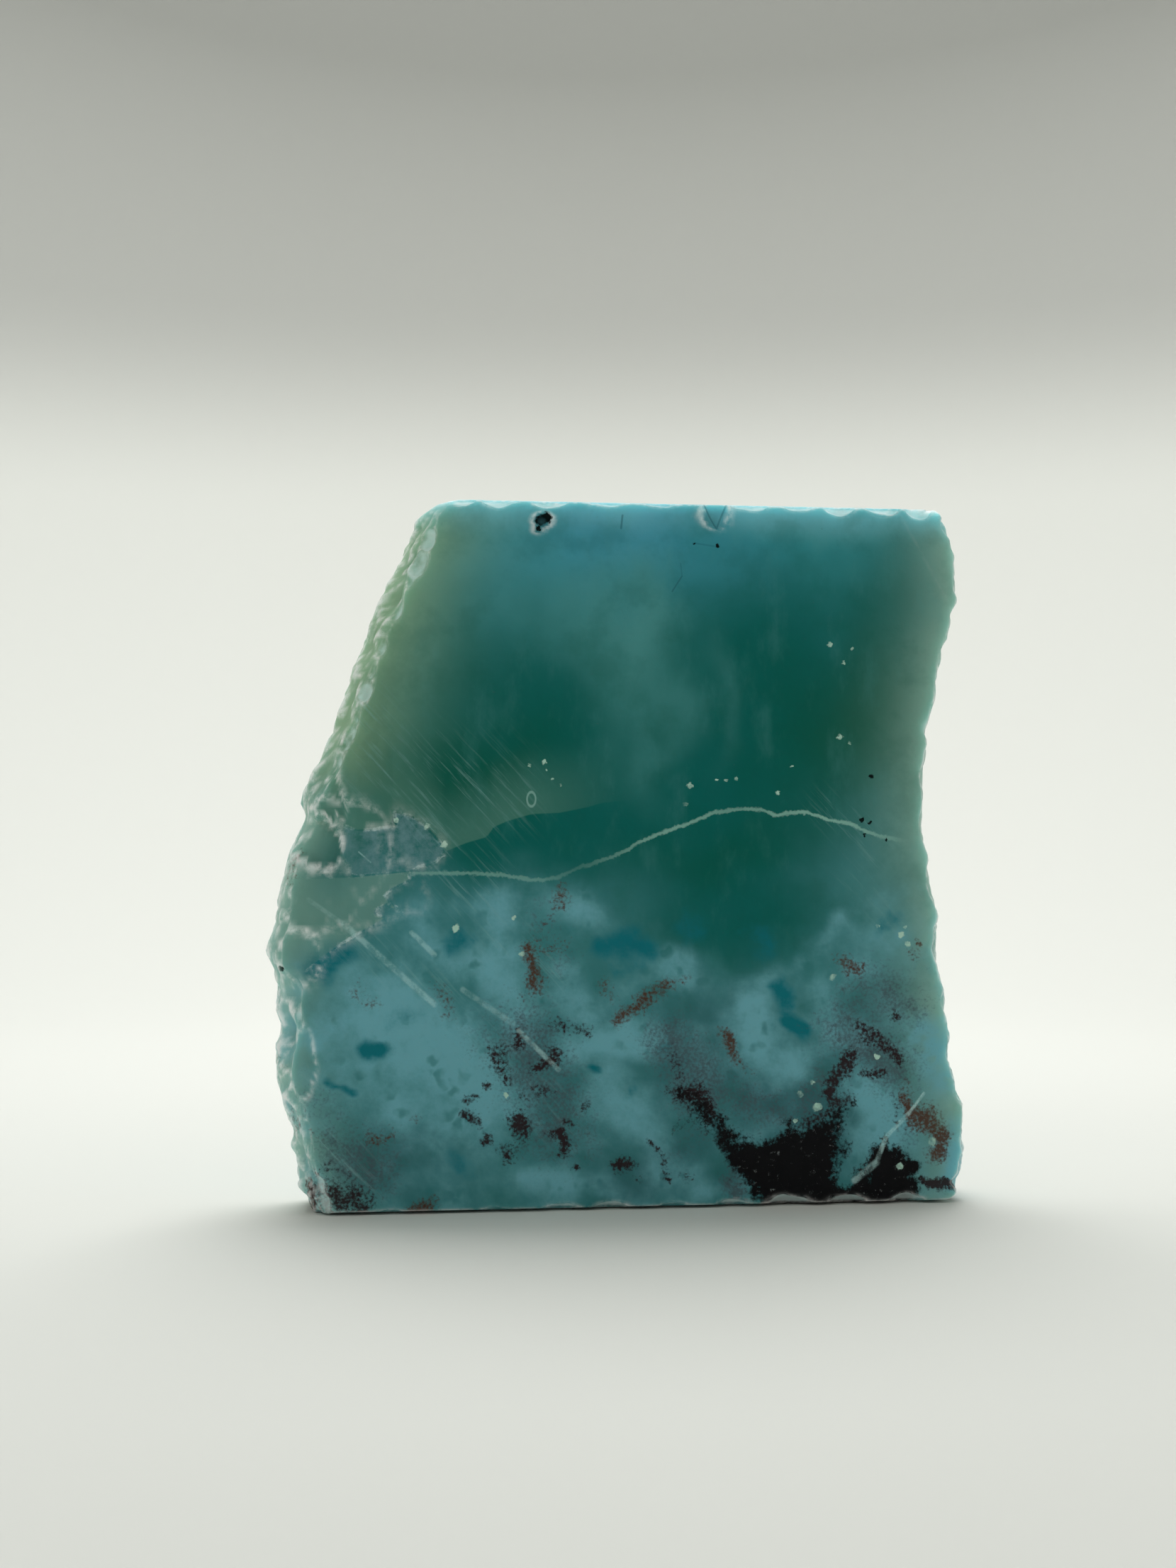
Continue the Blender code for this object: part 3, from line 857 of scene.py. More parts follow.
def rim_chip(points, fresh, rim, along, width, depth, shape, seed):
    """Scoops a chip out of a rim: the ball's centre lies straight out from the rim, between its two faces."""
    signs = np.array(RIMS[rim], float)
    z = along if signs[2] == 0 else (SLAB_TOP if signs[2] > 0 else 0.0)
    y = along if signs[1] == 0 else signs[1] * HALF_DEPTH
    x = along if signs[0] == 0 else float(wall_line(signs[0], np.array([z]), y / HALF_DEPTH, shape)[0])
    radius = depth / (1.0 - SCOOP_SUNK)
    out = signs / np.linalg.norm(signs)
    radii = np.where(signs == 0, 0.5 * width / math.sqrt(1.0 - SCOOP_SUNK ** 2), radius)
    scoop(points, fresh, np.array((x, y, z)) + out * radius * SCOOP_SUNK, radii, seed=seed)


def face_scar(points, side, x, z, wide, high, depth, seed):
    """Sinks the front (side -1) or back (side 1) face to the inside of a ball-like hollow, rippled by noise.

    The hollow's depth is that of a ball whose centre lies outside the face: radius times the root
    of 1 minus squared reach, less the part that lies outside.
    """
    radius = depth / (1.0 - SCOOP_SUNK)
    widen = 1.0 / math.sqrt(1.0 - SCOOP_SUNK ** 2)
    reach = np.hypot((points[:, 0] - x) / (wide * widen), (points[:, 2] - z) / (high * widen))
    near = np.flatnonzero((reach < 1.2) & (side * points[:, 1] > 0.0))
    reach = reach[near] * (1.0 + 0.12 * layered_noise(points[near], 0.5 * min(wide, high), 3, seed))
    sunk = radius * (np.sqrt(np.maximum(1.0 - reach * reach, 0.0)) - SCOOP_SUNK)
    points[near, 1] = side * np.minimum(side * points[near, 1], HALF_DEPTH - np.maximum(sunk, 0.0))


def chip_rims(points, fresh, shape):
    """The named chips along the sawn edges, and small ones strewn along every rim."""
    for rim, chips in SAWN_CHIPS.items():
        for number, (along, width, depth) in enumerate(chips):
            rim_chip(points, fresh, rim, along, width, depth, shape, 100 + number)
    strewn = np.random.default_rng(7)
    ends = ((LEFT_SIDE + 3.0, RIGHT_SIDE - 2.0), (-HALF_DEPTH, HALF_DEPTH), (0.5, SLAB_TOP - 0.5))
    for rim, (count, widest, deepest) in STREWN_CHIPS.items():
        low, high = ends[RIMS[rim].index(0)]
        if rim.startswith("top"):
            low += 9.0
        for number in range(count):
            along = strewn.uniform(low, high)
            size = strewn.uniform(0.25, 1.0) ** 1.6
            width = widest * (0.25 + 0.75 * size)
            rim_chip(points, fresh, rim, along, width, deepest * size, shape, 300 + number)


def lean_facet(points):
    """Cuts the facet: beyond its line, the front face leans back in proportion to the distance from the line."""
    run = np.array(FACET_RUN) / np.linalg.norm(FACET_RUN)
    beyond = (points[:, 0] - FACET_START[0]) * -run[1] + (points[:, 2] - FACET_START[1]) * run[0]
    facet = math.tan(FACET_SLOPE) * np.maximum(beyond, 0.0) - HALF_DEPTH
    points[:, 1] = np.maximum(points[:, 1], facet)


# Depth of each step in the front face at the left break, and the width over which it drops
FLAKE_STEPS = ((HOLLOW, 0.42, 0.30), (RIM_BEVEL, 0.22, 0.25), (LOBE, 0.06, 0.15), (PLATE, 0.05, 0.12))


def step_flakes(points):
    """Sinks the front face inside each plate's outline by its step, over a narrow S-shaped edge."""
    front = fade(-points[:, 1], 0.0, 0.6 * HALF_DEPTH)
    place = points[:, (0, 2)]
    for outline, depth, width in FLAKE_STEPS:
        inside = fade(outline_distance(place, outline), -width / 2.0, width / 2.0)
        points[:, 1] += depth * inside * front


def neighbour_means(points, quads):
    """The mean place of each point's neighbours along the quads' sides."""
    start = quads.ravel()
    end = np.roll(quads, -1, axis=1).ravel()
    count = np.bincount(start, minlength=len(points)) + np.bincount(end, minlength=len(points))
    sums = np.stack(
        [
            np.bincount(start, points[end, axis], len(points))
            + np.bincount(end, points[start, axis], len(points))
            for axis in range(3)
        ],
        axis=1,
    )
    return sums / count[:, None]


def soften(points, quads, passes, share):
    """Rounds every edge a little: each pass moves the points this share of the way to their neighbours' mean."""
    for _ in range(passes):
        points += share * (neighbour_means(points, quads) - points)


def point_normals(points, quads):
    """The outward direction at each point: the sum of its quads' diagonals crossed."""
    corner = points[quads]
    face = np.cross(corner[:, 2] - corner[:, 0], corner[:, 3] - corner[:, 1])
    sums = np.stack(
        [np.bincount(quads.ravel(), np.repeat(face[:, axis], 4), len(points)) for axis in range(3)],
        axis=1,
    )
    return sums / np.linalg.norm(sums, axis=1, keepdims=True)


def crest(points, quads):
    """How sharply the surface stands out at each point, 0 to 1: the offset from the neighbours' mean along the normal."""
    standing = ((points - neighbour_means(points, quads)) * point_normals(points, quads)).sum(axis=1)
    return np.clip(standing / 0.03, 0.0, 1.0)


def slab_mesh(shape):
    """The finished slab: its points in mm, its quads, and how fresh and how sharp the stone is at each point."""
    points, quads = bare_slab(shape)
    fresh = np.zeros(len(points))
    break_walls(points, shape)
    for number, scar in enumerate(FRONT_SCARS):
        face_scar(points, -1, *scar, 500 + number)
    for number, scar in enumerate(BACK_SCARS):
        face_scar(points, 1, *scar, 520 + number)
    step_flakes(points)
    lean_facet(points)
    chip_rims(points, fresh, shape)
    soften(points, quads, 2, 0.35)
    return points, quads, fresh, crest(points, quads)


# How far, and over what length, the inclusions' outlines wander
STROKE_WANDER = 0.42
STROKE_WANDER_SIZE = 1.9

# How far the pattern inside the stone drifts between the front face and the back
DRIFT = 6.0
DRIFT_SIZE = 15.0


def stone_place(points):
    """Each point's place in the pattern: its x and z, drifting with depth, so that the pattern runs through the slab."""
    through = (points[:, 1] + HALF_DEPTH) / (2.0 * HALF_DEPTH)
    drift = np.stack([soft_noise(points, DRIFT_SIZE, seed) for seed in (41, 42)], axis=1)
    return points[:, (0, 2)] + DRIFT * through[:, None] * drift


def paint(colour, other, amount):
    """Lays one colour over another by an amount from 0 to 1."""
    return colour + (np.array(other) - colour) * np.asarray(amount)[:, None]


def body_tone(points, place, shape, colours):
    """The stone's soft body colours: deep teal, with the ovals over it, painted light along the top edge and a painted
    glow in the broken edges.
    """
    wander = np.stack([layered_noise(points, 5.0, 3, seed) for seed in (51, 61)], axis=1)
    spread = place + 1.5 * wander
    tone = np.tile(np.array(colours.deep_teal), (len(points), 1))
    under_milk = fade(smooth_line(MILK_TOP, spread[:, 0]) - spread[:, 1], -3.5, 3.0)
    tone = paint(tone, colours.mist, 0.8 * under_milk)
    for name, x, z, wide, high, turn, strength in TONE_OVALS:
        tone = paint(tone, getattr(colours, name), strength * oval_field(spread, x, z, wide, high, turn))
    z = points[:, 2]
    flat = np.zeros(len(points))
    left = points[:, 0] - wall_line(-1, z, flat, shape)
    right = wall_line(1, z, flat, shape) - points[:, 0]
    upper = fade(z + 2.0 * wander[:, 0], 26.0, 33.0)
    # Painted light: a glow of light from behind through the thin upper left edge
    tone = paint(tone, colours.painted_glow_upper_left, 0.95 * upper * np.exp(-(np.maximum(left, 0.0) / 4.2) ** 1.5))
    # Painted light: a glow of light from behind through the lower left edge and the right edge
    tone = paint(tone, colours.painted_edge_glow, 0.8 * (1.0 - upper) * np.exp(-(np.maximum(left, 0.0) / 2.2) ** 1.3))
    tone = paint(tone, colours.painted_edge_glow, 0.85 * np.exp(-(np.maximum(right, 0.0) / 2.8) ** 1.3))
    # Painted light: the front is lighter towards the top edge, where light from above and behind comes through the
    # stone
    return paint(tone, screen_tone(92, 142, 150), 0.85 * fade(z + 0.5 * wander[:, 1], 46.8, 50.4))


def milk_amount(points, place):
    """How milky the stone is: the pale clouds plus noise, below the milk's top line, and nothing above it."""
    wander = layered_noise(points, 4.0, 3, 71)
    below = smooth_line(MILK_TOP, place[:, 0]) - place[:, 1] + 1.4 * wander
    clouds = stroke_field(place, MILK_CLOUDS) + 0.38 * layered_noise(points, 2.4, 4, 75)
    return fade(below, -2.2, 2.4) * np.clip(0.30 + 0.75 * clouds, 0.0, 1.0)


def store(mesh, name, kind, values):
    """Keeps values, one row to a point, as a mesh attribute that the material reads by name."""
    attribute = mesh.attributes.new(name, kind, "POINT")
    field = "color" if kind == "FLOAT_COLOR" else "vector"
    attribute.data.foreach_set(field, np.ascontiguousarray(values, np.float32).ravel())


def write_pattern(mesh, points, fresh, sharp, shape, colours):
    """Works out the stone's pattern at every point and keeps it on the mesh."""
    place = stone_place(points)
    through = (points[:, 1] + HALF_DEPTH) / (2.0 * HALF_DEPTH)
    back = fade(through, 0.45, 0.95)
    tone = body_tone(points, place, shape, colours)
    store(mesh, "tone", "FLOAT_COLOR", np.column_stack((tone, np.ones(len(points)))))
    wander = [layered_noise(points, STROKE_WANDER_SIZE, 3, seed) for seed in (81, 91)]
    bent = place + STROKE_WANDER * np.stack(wander, axis=1)
    rust = np.maximum(stroke_field(bent, RUST), back * stroke_field(bent, BACK_RUST))
    maroon = np.maximum(stroke_field(bent, MAROON), back * stroke_field(bent, BACK_MAROON))
    matrix = outline_distance(bent, MATRIX)
    store(mesh, "inclusions", "FLOAT_VECTOR", np.column_stack((rust, maroon, matrix)))
    clouds = (milk_amount(points, place), stroke_field(bent, POOLS), stroke_field(bent, BRUISES))
    store(mesh, "clouds", "FLOAT_VECTOR", np.column_stack(clouds))
    flat_place = points[:, (0, 2)]
    flakes = [outline_distance(flat_place, outline) for outline in (LOBE, PLATE, HOLLOW)]
    store(mesh, "flakes", "FLOAT_VECTOR", np.column_stack(flakes))
    veil = outline_distance(flat_place, VEIL_EDGE + VEIL_CLOSE)
    above_veil = flat_place[:, 1] - np.interp(flat_place[:, 0], *zip(*VEIL_EDGE))
    veil_clear = fade(above_veil, 5.5, 0.4) * fade(flat_place[:, 0], 1.0, -8.0)
    lobe_clear = fade(flat_place[:, 1], 16.2, 20.2)
    store(mesh, "veils", "FLOAT_VECTOR", np.column_stack((veil, veil_clear, lobe_clear)))
    vein_x, vein_z, vein_clear = zip(*VEIN)
    above_vein = place[:, 1] - smooth_line(tuple(zip(vein_x, vein_z)), place[:, 0])
    clear = np.interp(place[:, 0], vein_x, vein_clear, left=0.0, right=0.0)
    saw = stroke_field(flat_place, SAW_FIELDS)
    store(mesh, "vein", "FLOAT_VECTOR", np.column_stack((above_vein, clear, saw)))
    # fresh marks chipped stone; sharp drives the painted highlight on convex crests
    store(mesh, "chip_wear_and_crest_highlight", "FLOAT_VECTOR", np.column_stack((fresh, sharp, np.zeros(len(points)))))


class Wires:
    """Adds shader nodes to one tree. An input takes a number, a colour or another node's output."""

    def __init__(self, tree):
        self.tree = tree

    def join(self, socket, value):
        if isinstance(value, bpy.types.NodeSocket):
            self.tree.links.new(value, socket)
        else:
            socket.default_value = value

    def node(self, kind, inputs=None, **settings):
        node = self.tree.nodes.new(kind)
        for name, value in settings.items():
            setattr(node, name, value)
        for name, value in (inputs or {}).items():
            self.join(node.inputs[name], value)
        return node

    def math(self, operation, *values):
        node = self.node("ShaderNodeMath", operation=operation)
        for socket, value in zip(node.inputs, values):
            self.join(socket, value)
        return node.outputs[0]

    def vector(self, operation, first, second=None, scale=None):
        node = self.node("ShaderNodeVectorMath", {0: first}, operation=operation)
        if second is not None:
            self.join(node.inputs[1], second)
        if scale is not None:
            self.join(node.inputs["Scale"], scale)
        return node.outputs["Value" if operation in ("DOT_PRODUCT", "LENGTH", "DISTANCE") else 0]

    def step(self, value, low, high):
        """0 below low and 1 above high, smooth between; low may be above high."""
        inputs = {"Value": value, "From Min": low, "From Max": high}
        return self.node("ShaderNodeMapRange", inputs, interpolation_type="SMOOTHSTEP").outputs[0]

    def mix(self, amount, first, second):
        node = self.node("ShaderNodeMix", {0: amount}, data_type="RGBA")
        for socket, value in ((node.inputs[6], first), (node.inputs[7], second)):
            self.join(socket, value if isinstance(value, bpy.types.NodeSocket) else (*value, 1.0))
        return node.outputs[2]

    def noise(self, vector, size, detail=3.0, rough=0.55):
        inputs = {"Vector": vector, "Scale": 1.0 / size, "Detail": detail, "Roughness": rough}
        return self.node("ShaderNodeTexNoise", inputs).outputs["Fac"]

    def cells(self, vector, size, feature="F1"):
        inputs = {"Vector": vector, "Scale": 1.0 / size}
        return self.node("ShaderNodeTexVoronoi", inputs, feature=feature).outputs["Distance"]

    def attribute(self, name):
        return self.node("ShaderNodeAttribute", attribute_name=name)

    def parts(self, name):
        node = self.node("ShaderNodeSeparateXYZ", {0: self.attribute(name).outputs["Vector"]})
        return node.outputs[0], node.outputs[1], node.outputs[2]


def mark_group(name, inputs):
    """An empty node group for one kind of mark, with named inputs and a Mask output."""
    group = bpy.data.node_groups.new(name, "ShaderNodeTree")
    for label, kind in inputs:
        group.interface.new_socket(label, in_out="INPUT", socket_type=kind)
    group.interface.new_socket("Mask", in_out="OUTPUT", socket_type="NodeSocketFloat")
    return group, Wires(group), group.nodes.new("NodeGroupInput"), group.nodes.new("NodeGroupOutput")


def scratch_group():
    """Adds a straight mark to those so far: 1 on the line from Start to End, 0 beyond its width."""
    group, w, inside, outside = mark_group(
        "Larimar scratch",
        (
            ("So Far", "NodeSocketFloat"),
            ("Point", "NodeSocketVector"),
            ("Start", "NodeSocketVector"),
            ("End", "NodeSocketVector"),
            ("Width", "NodeSocketFloat"),
            ("Strength", "NodeSocketFloat"),
        ),
    )
    run = w.vector("SUBTRACT", inside.outputs["End"], inside.outputs["Start"])
    offset = w.vector("SUBTRACT", inside.outputs["Point"], inside.outputs["Start"])
    length = w.vector("DOT_PRODUCT", run, run)
    share = w.math("DIVIDE", w.vector("DOT_PRODUCT", offset, run), length)
    share = w.math("MINIMUM", w.math("MAXIMUM", share, 0.0), 1.0)
    beside = w.vector("DISTANCE", offset, w.vector("SCALE", run, scale=share))
    half = w.math("MULTIPLY", inside.outputs["Width"], 0.35)
    mask = w.math("MULTIPLY", w.step(beside, inside.outputs["Width"], half), inside.outputs["Strength"])
    w.join(outside.inputs["Mask"], w.math("MAXIMUM", inside.outputs["So Far"], mask))
    return group


def speck_group():
    """Adds a round grain to those so far: 1 within its radius, soft at its edge."""
    group, w, inside, outside = mark_group(
        "Larimar speck",
        (
            ("So Far", "NodeSocketFloat"),
            ("Point", "NodeSocketVector"),
            ("Centre", "NodeSocketVector"),
            ("Radius", "NodeSocketFloat"),
        ),
    )
    away = w.vector("DISTANCE", inside.outputs["Point"], inside.outputs["Centre"])
    soft = w.math("MULTIPLY", inside.outputs["Radius"], 0.6)
    mask = w.step(away, inside.outputs["Radius"], soft)
    w.join(outside.inputs["Mask"], w.math("MAXIMUM", inside.outputs["So Far"], mask))
    return group


def all_scratches(w, group, point, scratches):
    """The mask of a list of scratches, one group node to each."""
    so_far = 0.0
    for x0, z0, x1, z1, width, strength in scratches:
        inputs = {"So Far": so_far, "Point": point, "Start": (x0, 0.0, z0), "End": (x1, 0.0, z1)}
        node = w.node("ShaderNodeGroup", node_tree=group)
        for name, value in {**inputs, "Width": width, "Strength": strength}.items():
            w.join(node.inputs[name], value)
        so_far = node.outputs["Mask"]
    return so_far


def all_specks(w, group, point, specks):
    """The mask of a list of grains, one group node to each."""
    so_far = 0.0
    for x, z, radius in specks:
        node = w.node("ShaderNodeGroup", node_tree=group)
        inputs = {"So Far": so_far, "Point": point, "Centre": (x, 0.0, z), "Radius": radius}
        for name, value in inputs.items():
            w.join(node.inputs[name], value)
        so_far = node.outputs["Mask"]
    return so_far


def ragged(w, field, coarse, fine, low, high, start=0.04):
    """A field's crisp, speckled mask: its value moved by two noises and cut between low and high."""
    moved = w.math("MULTIPLY_ADD", w.math("SUBTRACT", coarse, 0.5), 1.3, field)
    moved = w.math("MULTIPLY_ADD", w.math("SUBTRACT", fine, 0.5), 1.6, moved)
    return w.math("MULTIPLY", w.step(moved, low, high), w.step(field, start, start + 0.25))


def stone_material(colours):
    """Larimar: clear teal, a milky net with teal windows, rust, maroon and black inclusions, chips and scratches."""
    material = bpy.data.materials.new("larimar")
    material.use_nodes = True
    tree = material.node_tree
    tree.nodes.clear()
    w = Wires(tree)

    # Places in mm; the same place on the flat front face; and noises shared by the masks
    point = w.vector("SCALE", w.node("ShaderNodeTexCoord").outputs["Object"], scale=1.0 / MM)
    x, y, z = w.node("ShaderNodeSeparateXYZ", {0: point}).outputs
    on_face = w.node("ShaderNodeCombineXYZ", {0: x, 2: z}).outputs[0]
    coarse = w.noise(point, 0.9, 5.0, 0.65)
    fine = w.noise(point, 0.22, 2.0, 0.6)
    cloud = w.noise(point, 3.2, 4.0, 0.6)
    front = w.step(y, -3.0, -3.6)

    # Body colour with slight mottling
    tone = w.attribute("tone").outputs["Color"]
    feather_point = w.node("ShaderNodeMapping", {0: point, "Scale": (0.8, 0.5, 0.35)}).outputs[0]
    feather = w.noise(feather_point, 1.6, 6.0, 0.62)
    colour = w.mix(w.math("MULTIPLY", w.step(feather, 0.48, 0.78), 0.22), tone, colours.haze)
    colour = w.mix(w.math("MULTIPLY", w.step(cloud, 0.55, 0.30), 0.22), colour, colours.sea_green)

    # The milky net, with round windows in it
    milk, pool, bruise = w.parts("clouds")
    bent = w.node("ShaderNodeTexNoise", {"Vector": point, "Scale": 0.7, "Detail": 2.0}).outputs["Color"]
    bent = w.vector("ADD", point, w.vector("SCALE", w.vector("SUBTRACT", bent, (0.5, 0.5, 0.5)), scale=2.0))
    window = w.step(w.cells(bent, 1.5), 0.42, 0.16)
    window = w.math("MULTIPLY", window, w.step(w.noise(point, 2.6, 1.0), 0.40, 0.62))
    net = w.math("MULTIPLY_ADD", window, -0.6, 1.0)
    milk = w.math("MULTIPLY_ADD", w.math("SUBTRACT", coarse, 0.5), w.math("MULTIPLY", milk, 1.1), milk)
    colour = w.mix(w.math("MULTIPLY", w.step(milk, 0.02, 1.0), net), colour, colours.milk)
    pool_mask = w.step(w.math("MULTIPLY_ADD", w.math("SUBTRACT", coarse, 0.5), 0.7, pool), 0.15, 0.80)
    colour = w.mix(pool_mask, colour, colours.pool)
    clouding = w.math("MULTIPLY_ADD", w.math("SUBTRACT", fine, 0.5), 1.2, bruise)
    clouding = w.math("MULTIPLY_ADD", w.math("SUBTRACT", coarse, 0.5), 1.0, clouding)
    colour = w.mix(w.math("MULTIPLY", w.step(clouding, 0.25, 1.0), 0.85), colour, colours.bruise)

    # Thin plates at the left break, and the pale veil above the vein
    lobe, plate, hollow = w.parts("flakes")
    veil, veil_clear, lobe_clear = w.parts("veils")
    above_vein, vein_clear, saw = w.parts("vein")
    fresh, sharp, _ = w.parts("chip_wear_and_crest_highlight")
    shiver = w.math("MULTIPLY", w.math("SUBTRACT", fine, 0.5), 0.25)
    veil_fill = w.math("MULTIPLY", w.step(veil, 0.0, 0.12), w.math("MULTIPLY", veil_clear, front))
    colour = w.mix(w.math("MULTIPLY", veil_fill, 0.62), colour, screen_tone(62, 98, 88))
    lobe_fill = w.math("MULTIPLY", w.step(lobe, 0.0, 0.12), w.math("MULTIPLY", lobe_clear, front))
    colour = w.mix(w.math("MULTIPLY", lobe_fill, 0.6), colour, screen_tone(86, 116, 108))
    plate_fill = w.math("MULTIPLY", w.step(plate, 0.0, 0.10), front)
    colour = w.mix(w.math("MULTIPLY", plate_fill, w.step(coarse, 0.25, 0.75)), colour, screen_tone(74, 104, 108))
    hollow_fill = w.math("MULTIPLY", w.step(hollow, -0.1, 0.25), front)
    colour = w.mix(w.math("MULTIPLY", hollow_fill, 0.75), colour, screen_tone(84, 92, 76))
    plate_line = w.step(w.math("ABSOLUTE", w.math("ADD", plate, shiver)), 0.17, 0.05)
    lobe_line = w.step(w.math("ABSOLUTE", w.math("ADD", lobe, shiver)), 0.14, 0.04)
    hollow_line = w.step(w.math("ABSOLUTE", w.math("ADD", hollow, shiver)), 0.16, 0.05)
    flake_line = w.math("MAXIMUM", w.math("MAXIMUM", plate_line, lobe_line), hollow_line)
    flake_line = w.math("MULTIPLY", flake_line, w.math("MULTIPLY", front, w.step(coarse, 0.46, 0.72)))
    colour = w.mix(w.math("MULTIPLY", flake_line, 0.55), colour, colours.chip)

    # Saw marks: noise drawn out along their run
    run = (math.cos(SAW_ANGLE), 0.0, -math.sin(SAW_ANGLE))
    over = (math.sin(SAW_ANGLE), 0.0, math.cos(SAW_ANGLE))
    drawn = w.node(
        "ShaderNodeCombineXYZ",
        {
            0: w.math("MULTIPLY", w.vector("DOT_PRODUCT", point, run), 0.22),
            1: w.math("MULTIPLY", w.vector("DOT_PRODUCT", point, over), 3.2),
            2: y,
        },
    ).outputs[0]
    streak = w.noise(drawn, 1.0, 4.0, 0.65)
    saw_mask = w.math("MULTIPLY", w.step(streak, 0.50, 0.72), w.math("MULTIPLY", saw, front))
    colour = w.mix(w.math("MULTIPLY", saw_mask, 0.45), colour, screen_tone(98, 132, 132))

    # Inclusions
    rust, maroon, matrix = w.parts("inclusions")
    rust_mask = ragged(w, rust, coarse, fine, 0.25, 1.05)
    colour = w.mix(w.math("MULTIPLY", rust_mask, 0.92), colour, colours.rust)
    maroon_mask = ragged(w, maroon, coarse, fine, 0.30, 0.95)
    colour = w.mix(w.math("MULTIPLY", maroon_mask, 0.95), colour, colours.maroon)
    matrix_field = w.math("MULTIPLY_ADD", w.math("SUBTRACT", coarse, 0.5), 2.6, matrix)
    matrix_field = w.math("MULTIPLY_ADD", w.math("SUBTRACT", fine, 0.5), 1.4, matrix_field)
    matrix_mask = w.step(matrix_field, -0.25, 0.55)
    colour = w.mix(matrix_mask, colour, colours.matrix)
    grain = w.noise(point, 0.34, 4.0, 0.75)
    fleck = w.math("MULTIPLY", w.step(grain, 0.60, 0.70), w.step(coarse, 0.40, 0.62))
    fleck = w.math("MULTIPLY", fleck, matrix_mask)
    colour = w.mix(w.math("MULTIPLY", fleck, 0.55), colour, screen_tone(110, 116, 116))

    # The vein, scratches, specks and the ring
    vein_wander = w.math("MULTIPLY_ADD", w.math("SUBTRACT", coarse, 0.5), 0.55, above_vein)
    vein_line = w.step(w.math("ABSOLUTE", w.math("ADD", vein_wander, shiver)), 0.20, 0.05)
    colour = w.mix(w.math("MULTIPLY", vein_line, w.math("MULTIPLY", vein_clear, 0.62)), colour, screen_tone(120, 152, 142))
    scratches = scratch_group()
    specks = speck_group()
    pale_scratch = w.math("MULTIPLY", all_scratches(w, scratches, on_face, PALE_SCRATCHES), front)
    dark_scratch = w.math("MULTIPLY", all_scratches(w, scratches, on_face, DARK_SCRATCHES), front)
    jitter = w.node("ShaderNodeTexNoise", {"Vector": point, "Scale": 3.0, "Detail": 2.0}).outputs["Color"]
    jitter = w.vector("SCALE", w.vector("SUBTRACT", jitter, (0.5, 0.5, 0.5)), scale=0.5)
    jittered = w.vector("ADD", on_face, jitter)
    pale_speck = w.math("MULTIPLY", all_specks(w, specks, jittered, PALE_SPECKS), front)
    dark_speck_and_pit_shade = w.math("MULTIPLY", all_specks(w, specks, jittered, DARK_SPECKS_AND_PIT_SHADE), front)
    broken = w.step(w.noise(point, 0.55, 3.0, 0.7), 0.36, 0.60)
    pale_scratch = w.math("MULTIPLY", pale_scratch, w.math("MULTIPLY_ADD", broken, 0.75, 0.25))
    colour = w.mix(w.math("MULTIPLY", pale_scratch, 0.6), colour, screen_tone(140, 168, 168))
    colour = w.mix(w.math("MULTIPLY", pale_speck, w.step(coarse, 0.30, 0.60)), colour, screen_tone(128, 152, 142))
    ring_x = w.math("DIVIDE", w.math("SUBTRACT", x, RING[0]), RING[2])
    ring_z = w.math("DIVIDE", w.math("SUBTRACT", z, RING[1]), RING[3])
    ring_out = w.vector("LENGTH", w.node("ShaderNodeCombineXYZ", {0: ring_x, 1: ring_z}).outputs[0])
    ring_line = w.step(w.math("ABSOLUTE", w.math("SUBTRACT", ring_out, 1.0)), 0.28, 0.08)
    colour = w.mix(w.math("MULTIPLY", w.math("MULTIPLY", ring_line, front), 0.5), colour, screen_tone(120, 150, 145))

    # Chips are powdery; convex crests are painted pale, partly as worn edges and partly as a painted highlight; pits
    # and dark grains are painted dark, which in the pits is painted shade
    powder = w.math("MULTIPLY", w.step(w.math("MULTIPLY_ADD", w.math("SUBTRACT", coarse, 0.5), 0.9, fresh), 0.25, 1.1), 0.62)
    colour = w.mix(powder, colour, colours.chip)
    # Painted highlight on convex crests and rims, partly worn pale edges
    crest_highlight_and_wear = w.math("MULTIPLY", w.math("MULTIPLY", sharp, w.step(coarse, 0.30, 0.62)), 0.7)
    colour = w.mix(crest_highlight_and_wear, colour, screen_tone(190, 206, 200))
    colour = w.mix(w.math("MULTIPLY", dark_scratch, 0.8), colour, screen_tone(20, 60, 70))
    # Painted shade in pits and scar holes, and dark grains
    colour = w.mix(dark_speck_and_pit_shade, colour, screen_tone(4, 12, 12))

    # Relief: grain, saw marks, scratches and the rough break
    grit = w.noise(point, 0.30, 4.0, 0.65)
    relief = w.math("MULTIPLY_ADD", saw_mask, 0.5, w.math("MULTIPLY", grit, 0.35))
    relief = w.math("MULTIPLY_ADD", pale_scratch, -0.8, relief)
    relief = w.math("MULTIPLY_ADD", w.math("MULTIPLY", fresh, coarse), 1.6, relief)
    relief = w.math("MULTIPLY_ADD", matrix_mask, w.math("MULTIPLY", grain, 0.6), relief)
    bump = w.node("ShaderNodeBump", {"Height": relief, "Distance": 0.08 * MM, "Strength": 0.6})

    roughness = w.math("MULTIPLY_ADD", fine, 0.20, 0.40)
    roughness = w.math("MULTIPLY_ADD", powder, 0.35, roughness)
    shader = w.node(
        "ShaderNodeBsdfPrincipled",
        {
            "Base Color": colour,
            "Roughness": roughness,
            "Normal": bump.outputs[0],
            "Specular IOR Level": 0.06,
            "Subsurface Weight": 0.85,
            "Subsurface Radius": (0.7, 1.0, 1.0),
            "Subsurface Scale": 2.2 * MM,
        },
    )
    w.node("ShaderNodeOutputMaterial", {"Surface": shader.outputs[0]})
    return material


